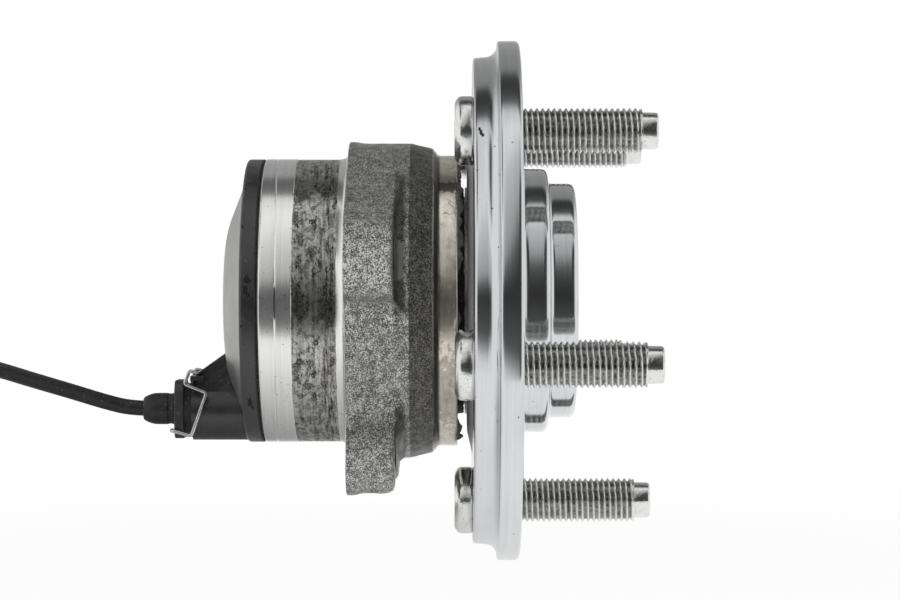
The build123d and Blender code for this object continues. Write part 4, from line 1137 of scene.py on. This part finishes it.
# The lead's route in millimetres, from inside the boot down to the surface the stored turns lie on.
LEAD_ROUTE = (
    (0.0, -51.5, PLUG_AXIS_Z),
    (0.0, -58.9, PLUG_AXIS_Z),
    (0.8, -66.0, -27.5),
    (4.2, -74.5, -24.6),
    (12.5, -84.0, -21.2),
    (23.0, -93.0, -17.6),
    (33.5, -101.5, -15.4),
    (44.0, -110.5, -17.6),
    (51.5, -119.0, -26.5),
    (55.5, -126.5, -40.0),
    (58.0, -134.0, -53.0),
    (59.5, -144.5, -63.0),
    (60.0, -158.0, -67.3),
    (60.0, -172.0, -67.3),
)
TAIL_ROUTE = ((9.6, -172.0, -63.1), (9.6, -163.0, -63.1), (9.6, -152.0, -65.5), (9.6, -143.0, -65.5))
COIL_MIDDLE, COIL_LOW, COIL_TURNS = (34.8, -181.0), -67.3, 3.5


def coil_route():
    """The stored turns' points: outer lane, inner lane, up a layer on the inner lane, then back to the outer
    lane. A quadratic spline runs inside its points by (6 + 2 cos step) / 8, so they stand out as much."""
    half = sizes().lead_diameter / MM / 2
    per_turn = sizes().coil_points
    u = np.arange(1, int(COIL_TURNS * per_turn)) / per_turn
    lane = 1 - 2 * smooth_step(0.82, 0.97, u) + 2 * smooth_step(2.48, 2.64, u)
    radius = (sizes().coil_radius / MM + half * lane) * 8 / (6 + 2 * math.cos(FULL_TURN / per_turn))
    height = COIL_LOW + 2 * half * smooth_step(1.66, 1.80, u)
    x = COIL_MIDDLE[0] + radius * np.cos(FULL_TURN * u)
    y = COIL_MIDDLE[1] - radius * np.sin(FULL_TURN * u)
    return np.stack([x, y, height], axis=-1)


def make_lead():
    """The sensor lead, one smooth line from the boot through its stored turns to its connector."""
    points = np.concatenate([np.array(LEAD_ROUTE), coil_route(), np.array(TAIL_ROUTE)]) * MM
    curve = bpy.data.curves.new("lead", "CURVE")
    curve.dimensions = "3D"
    curve.bevel_depth = sizes().lead_diameter / 2
    curve.bevel_resolution = 5
    curve.resolution_u = 6
    curve.use_fill_caps = True
    spline = curve.splines.new("NURBS")
    spline.points.add(len(points) - 1)
    spline.points.foreach_set("co", np.concatenate([points, np.ones((len(points), 1))], axis=1).ravel())
    spline.order_u = 3
    spline.use_endpoint_u = True
    curve.materials.append(rubber_finish("Lead jacket", finishes().rubber, (0.07, 0.07, 0.07), 0.22, 0.40))
    lead = in_scene(bpy.data.objects.new("lead", curve))
    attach(lead, "housing")
    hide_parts("sensor_cable", "cable_coil", "cable_tail")
    boot = make_boot()


def paint_nodes(finish, *nodes):
    """Gives nodes of the frame one finish."""
    for node in nodes:
        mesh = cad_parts[node].data
        mesh.materials.clear()
        mesh.materials.append(finish)


def paint_inner_pieces():
    """Finishes for the pieces that keep the frame's own shape."""
    balls = bright_finish("Ball steel", (0.80, 0.80, 0.81), 0.06, 0.10)
    paint_nodes(balls, "outboard_balls", "inboard_balls")
    paint_nodes(bright_finish("Race steel", (0.70, 0.70, 0.71), 0.16, 0.20), "inner_ring")
    pressed = bright_finish("Pressed steel", (0.46, 0.45, 0.43), 0.34, 0.6)
    paint_nodes(pressed, "seal_case", "seal_slinger", "encoder_carrier")
    paint_nodes(moulded_finish("Cage polymer", (0.34, 0.29, 0.20), 0.4, 0.3), "outboard_cage", "inboard_cage")
    paint_nodes(rubber_finish("Magnet rubber", (0.02, 0.02, 0.021)), "encoder_ring")
    paint_nodes(rubber_finish("Gasket rubber", (0.010, 0.010, 0.010)), "cap_gasket", "plug_seal")
    paint_nodes(moulded_finish("Sensor resin", (0.015, 0.017, 0.016), 0.3), "sensor_element")
    brass = bright_finish("Contact metal", (0.72, 0.58, 0.34), 0.22, 0.3)
    paint_nodes(brass, "socket_pins", "plug_terminals", "connector_contacts")
    paint_nodes(bright_finish("Spring wire", (0.72, 0.72, 0.73), 0.20, 0.4, 1.0), "wire_clip")


# ---- Studio ---------------------------------------------------------------------------------------

CAMERA_PLACE, CAMERA_LENS, CAMERA_SENSOR = (0.725, 0.027, 0.00015), 107.0, 36.0
LAMP_PLACE, LAMP_AIM = (0.68, -0.487, 0.59), (-0.755, 0.0, -0.656)
LAMP_SIZE, LAMP_POWER = (1.10, 0.66), 1.6
FLOOR_LOW, FLOOR_HIGH, FLOOR_CELLS = (-2.5, -2.5), (0.14, 2.5), 11


def set_camera():
    """A long lens straight at the side of the bearing, level with its axis."""
    camera = in_scene(bpy.data.objects.new("Camera", bpy.data.cameras.new("Camera")))
    camera.location = CAMERA_PLACE
    camera.rotation_euler = (math.pi / 2, 0, math.pi / 2)
    camera.data.lens = CAMERA_LENS
    camera.data.sensor_width = CAMERA_SENSOR
    camera.data.clip_start, camera.data.clip_end = 0.01, 20.0
    bpy.context.scene.camera = camera


# Brightness of the studio by angle round the hub axis in degrees: 0 is in front, 90 overhead, -90 below.
STUDIO_LEVELS = (
    (-180, 0.97),
    (-172, 0.62),
    (-38, 0.93),
    (-32, 0.78),
    (-27, 0.38),
    (-20, 0.10),
    (3, 0.035),
    (14, 0.12),
    (24, 0.44),
    (56, 0.68),
    (66, 0.88),
    (78, 0.97),
    (90, 0.75),
    (96, 0.10),
    (106, 0.045),
    (114, 0.06),
    (122, 0.28),
    (160, 0.36),
    (172, 0.60),
    (180, 0.97),
)
# In front, the levels turn by slant * x * y * z of the view's direction. The slants are for below and above.
STUDIO_SLANT = (1.3, 5.0)


def light_studio():
    """World strips above, below and behind, white at both sides, and one soft lamp in front."""
    world = bpy.data.worlds.new("Studio")
    bpy.context.scene.world = world
    world.use_nodes = True
    bench = Bench(world.node_tree)
    background = world.node_tree.nodes["Background"]
    place = bench.put("ShaderNodeTexCoord").outputs["Generated"]
    x, y, z = bench.put("ShaderNodeSeparateXYZ", {0: place}).outputs[:3]
    turn = bench.over(bench.maths("ARCTAN2", z, x), math.pi)
    slant = bench.span(z, -0.05, 0.05, STUDIO_SLANT[0] / math.pi, STUDIO_SLANT[1] / math.pi)
    ahead = bench.times(bench.most(x, 0.0), z)
    turn = bench.minus(turn, bench.times(ahead, bench.times(y, slant)))
    ramp = bench.put("ShaderNodeValToRGB", {0: bench.built_up(0.5, (turn, 0.5))})
    stops = ramp.color_ramp.elements
    for end, position, (_, level) in ((0, 0.0, STUDIO_LEVELS[0]), (1, 1.0, STUDIO_LEVELS[-1])):
        stops[end].position, stops[end].color = position, (level, level, level, 1)
    for angle, level in STUDIO_LEVELS[1:-1]:
        stops.new(angle / 360 + 0.5).color = (level, level, level, 1)
    sides = bench.span(bench.maths("ABSOLUTE", y), 0.42, 0.74)
    level = bench.blend(sides, ramp.outputs[0], (0.95, 0.95, 0.95))
    path = bench.put("ShaderNodeLightPath").outputs
    seen = bench.most(path["Is Camera Ray"], path["Is Transmission Ray"])
    bench.feed(background.inputs["Color"], bench.blend(seen, level, (1.0, 1.0, 1.0)))

    lamp = in_scene(bpy.data.objects.new("Front lamp", bpy.data.lights.new("Front lamp", "AREA")))
    lamp.data.shape = "RECTANGLE"
    lamp.data.size, lamp.data.size_y = LAMP_SIZE
    lamp.data.energy = LAMP_POWER
    lamp.location = LAMP_PLACE
    lamp.rotation_mode = "QUATERNION"
    lamp.rotation_quaternion = Vector(LAMP_AIM).to_track_quat("-Z", "Y")
    lamp.visible_glossy = False


def lay_floor():
    """A white surface level with the flange's rim. Where the camera sees it, it keeps a faint trace of the
    real shadow near the bearing; where metal mirrors it, a painted shade darkens it near the bearing."""
    level = cad_box[0][2]
    side = FLOOR_CELLS + 1
    share = np.linspace(0, 1, side)
    u, v = np.meshgrid(share, share, indexing="ij")
    across = FLOOR_LOW[0] + (FLOOR_HIGH[0] - FLOOR_LOW[0]) * u
    along = FLOOR_LOW[1] + (FLOOR_HIGH[1] - FLOOR_LOW[1]) * v
    points = np.stack([across, along, level + 0 * u], axis=-1)
    row, column = np.meshgrid(np.arange(FLOOR_CELLS), np.arange(FLOOR_CELLS), indexing="ij")
    first = row * side + column
    faces = np.stack([first, first + side, first + side + 1, first + 1], axis=-1).reshape(-1, 4)
    mesh = bpy.data.meshes.new("floor")
    mesh.from_pydata(points.reshape(-1, 3), [], faces)
    in_scene(bpy.data.objects.new("floor", mesh))
    material, bench = new_material("White surface", roughness=0.7, base_color=(0.86, 0.86, 0.86, 1))
    place = bench.put("ShaderNodeTexCoord").outputs["Object"]
    away = bench.put("ShaderNodeVectorMath", {0: place}, operation="LENGTH").outputs["Value"]
    under = bench.put("ShaderNodeVectorMath", {0: place, 1: (-0.035, -0.055, level)}, operation="DISTANCE")
    path = bench.put("ShaderNodeLightPath").outputs
    seen = bench.times(path["Is Camera Ray"], bench.span(away, 0.12, 0.34, 0.95, 1.0))
    mirrored = bench.most(path["Is Glossy Ray"], path["Is Transmission Ray"])
    # Painted shade: the floor that metal mirrors darkens towards a point under the bearing.
    mirrored_painted_shade = bench.span(under.outputs["Value"], 0.02, 0.14, 0.30, 0.97)
    mirrored_painted_shade = bench.blend(path["Is Camera Ray"], bench.pack(mirrored_painted_shade, mirrored_painted_shade, mirrored_painted_shade), (1.0, 1.0, 1.0))
    glow = bench.put("ShaderNodeEmission", {"Color": mirrored_painted_shade, "Strength": 1.0}).outputs[0]
    wanted = {0: bench.most(seen, mirrored), 1: bench.shader.outputs[0], 2: glow}
    mix = bench.put("ShaderNodeMixShader", wanted)
    bench.feed(material.node_tree.nodes["Material Output"].inputs["Surface"], mix.outputs[0])
    mesh.materials.append(material)


# ---- Operators ------------------------------------------------------------------------------------


class HUBBEARING_OT_studio(bpy.types.Operator):
    """Set the camera, the studio light and the white surface"""

    bl_idname = "hub_bearing.studio"
    bl_label = "Studio"

    def execute(self, context):
        set_camera()
        light_studio()
        lay_floor()
        return {"FINISHED"}


class HUBBEARING_OT_effects(bpy.types.Operator):
    """Build the shared wear, grain and zone effects"""

    bl_idname = "hub_bearing.effects"
    bl_label = "Shared effects"

    def execute(self, context):
        build_effects()
        return {"FINISHED"}


class HUBBEARING_OT_mouldings(bpy.types.Operator):
    """Build the moulded cap, plug, connector and tie"""

    bl_idname = "hub_bearing.mouldings"
    bl_label = "Mouldings"

    def execute(self, context):
        make_moulded_pieces()
        return {"FINISHED"}


class HUBBEARING_OT_lead(bpy.types.Operator):
    """Build the sensor lead, its boot and its stored turns"""

    bl_idname = "hub_bearing.lead"
    bl_label = "Sensor lead"

    def execute(self, context):
        make_lead()
        return {"FINISHED"}


class HUBBEARING_OT_outer_ring(bpy.types.Operator):
    """Build the forged outer ring with its lobes and tapped holes"""

    bl_idname = "hub_bearing.outer_ring"
    bl_label = "Outer ring"

    def execute(self, context):
        make_outer_ring()
        return {"FINISHED"}


class HUBBEARING_OT_hub(bpy.types.Operator):
    """Build the turned hub with its flange and pilots"""

    bl_idname = "hub_bearing.hub"
    bl_label = "Hub"

    def execute(self, context):
        make_hub()
        return {"FINISHED"}


class HUBBEARING_OT_studs(bpy.types.Operator):
    """Build the five threaded wheel studs"""

    bl_idname = "hub_bearing.studs"
    bl_label = "Wheel studs"

    def execute(self, context):
        make_studs()
        return {"FINISHED"}


class HUBBEARING_OT_dome(bpy.types.Operator):
    """Build the pressed dome of the cap"""

    bl_idname = "hub_bearing.dome"
    bl_label = "Cap dome"

    def execute(self, context):
        make_dome()
        return {"FINISHED"}


class HUBBEARING_OT_seal(bpy.types.Operator):
    """Build the seal's rubber ring and the grease pressed out beside it"""

    bl_idname = "hub_bearing.seal"
    bl_label = "Seal"

    def execute(self, context):
        make_seal()
        make_grease()
        return {"FINISHED"}


class HUBBEARING_OT_inner_pieces(bpy.types.Operator):
    """Finish the balls, cages, inner ring, encoder, contacts and clip"""

    bl_idname = "hub_bearing.inner_pieces"
    bl_label = "Inner pieces"

    def execute(self, context):
        paint_inner_pieces()
        return {"FINISHED"}


STEPS = (
    HUBBEARING_OT_studio,
    HUBBEARING_OT_effects,
    HUBBEARING_OT_mouldings,
    HUBBEARING_OT_lead,
    HUBBEARING_OT_outer_ring,
    HUBBEARING_OT_hub,
    HUBBEARING_OT_studs,
    HUBBEARING_OT_dome,
    HUBBEARING_OT_seal,
    HUBBEARING_OT_inner_pieces,
)


class HUBBEARING_PT_panel(bpy.types.Panel):
    """Sizes, finishes and building steps of the hub bearing"""

    bl_label = "Hub Bearing"
    bl_space_type = "VIEW_3D"
    bl_region_type = "UI"
    bl_category = "Hub Bearing"

    def draw(self, context):
        for group in (context.scene.hub_bearing_sizes, context.scene.hub_bearing_finishes):
            box = self.layout.box()
            for key in group.bl_rna.properties.keys():
                if key not in ("rna_type", "name"):
                    box.prop(group, key)
        for step in STEPS:
            self.layout.operator(step.bl_idname)


CLASSES = (HubBearingSizes, HubBearingFinishes, *STEPS, HUBBEARING_PT_panel)


def register():
    """Adds the properties, operators and panel."""
    for each in CLASSES:
        bpy.utils.register_class(each)
    bpy.types.Scene.hub_bearing_sizes = PointerProperty(type=HubBearingSizes)
    bpy.types.Scene.hub_bearing_finishes = PointerProperty(type=HubBearingFinishes)


def unregister():
    """Takes them out again."""
    del bpy.types.Scene.hub_bearing_finishes
    del bpy.types.Scene.hub_bearing_sizes
    for each in reversed(CLASSES):
        bpy.utils.unregister_class(each)


def main():
    """Runs every step in order."""
    register()
    bpy.context.scene.view_settings.view_transform = "Standard"
    for step in STEPS:
        family, action = step.bl_idname.split(".")
        getattr(getattr(bpy.ops, family), action)()


if __name__ == "__main__":
    main()
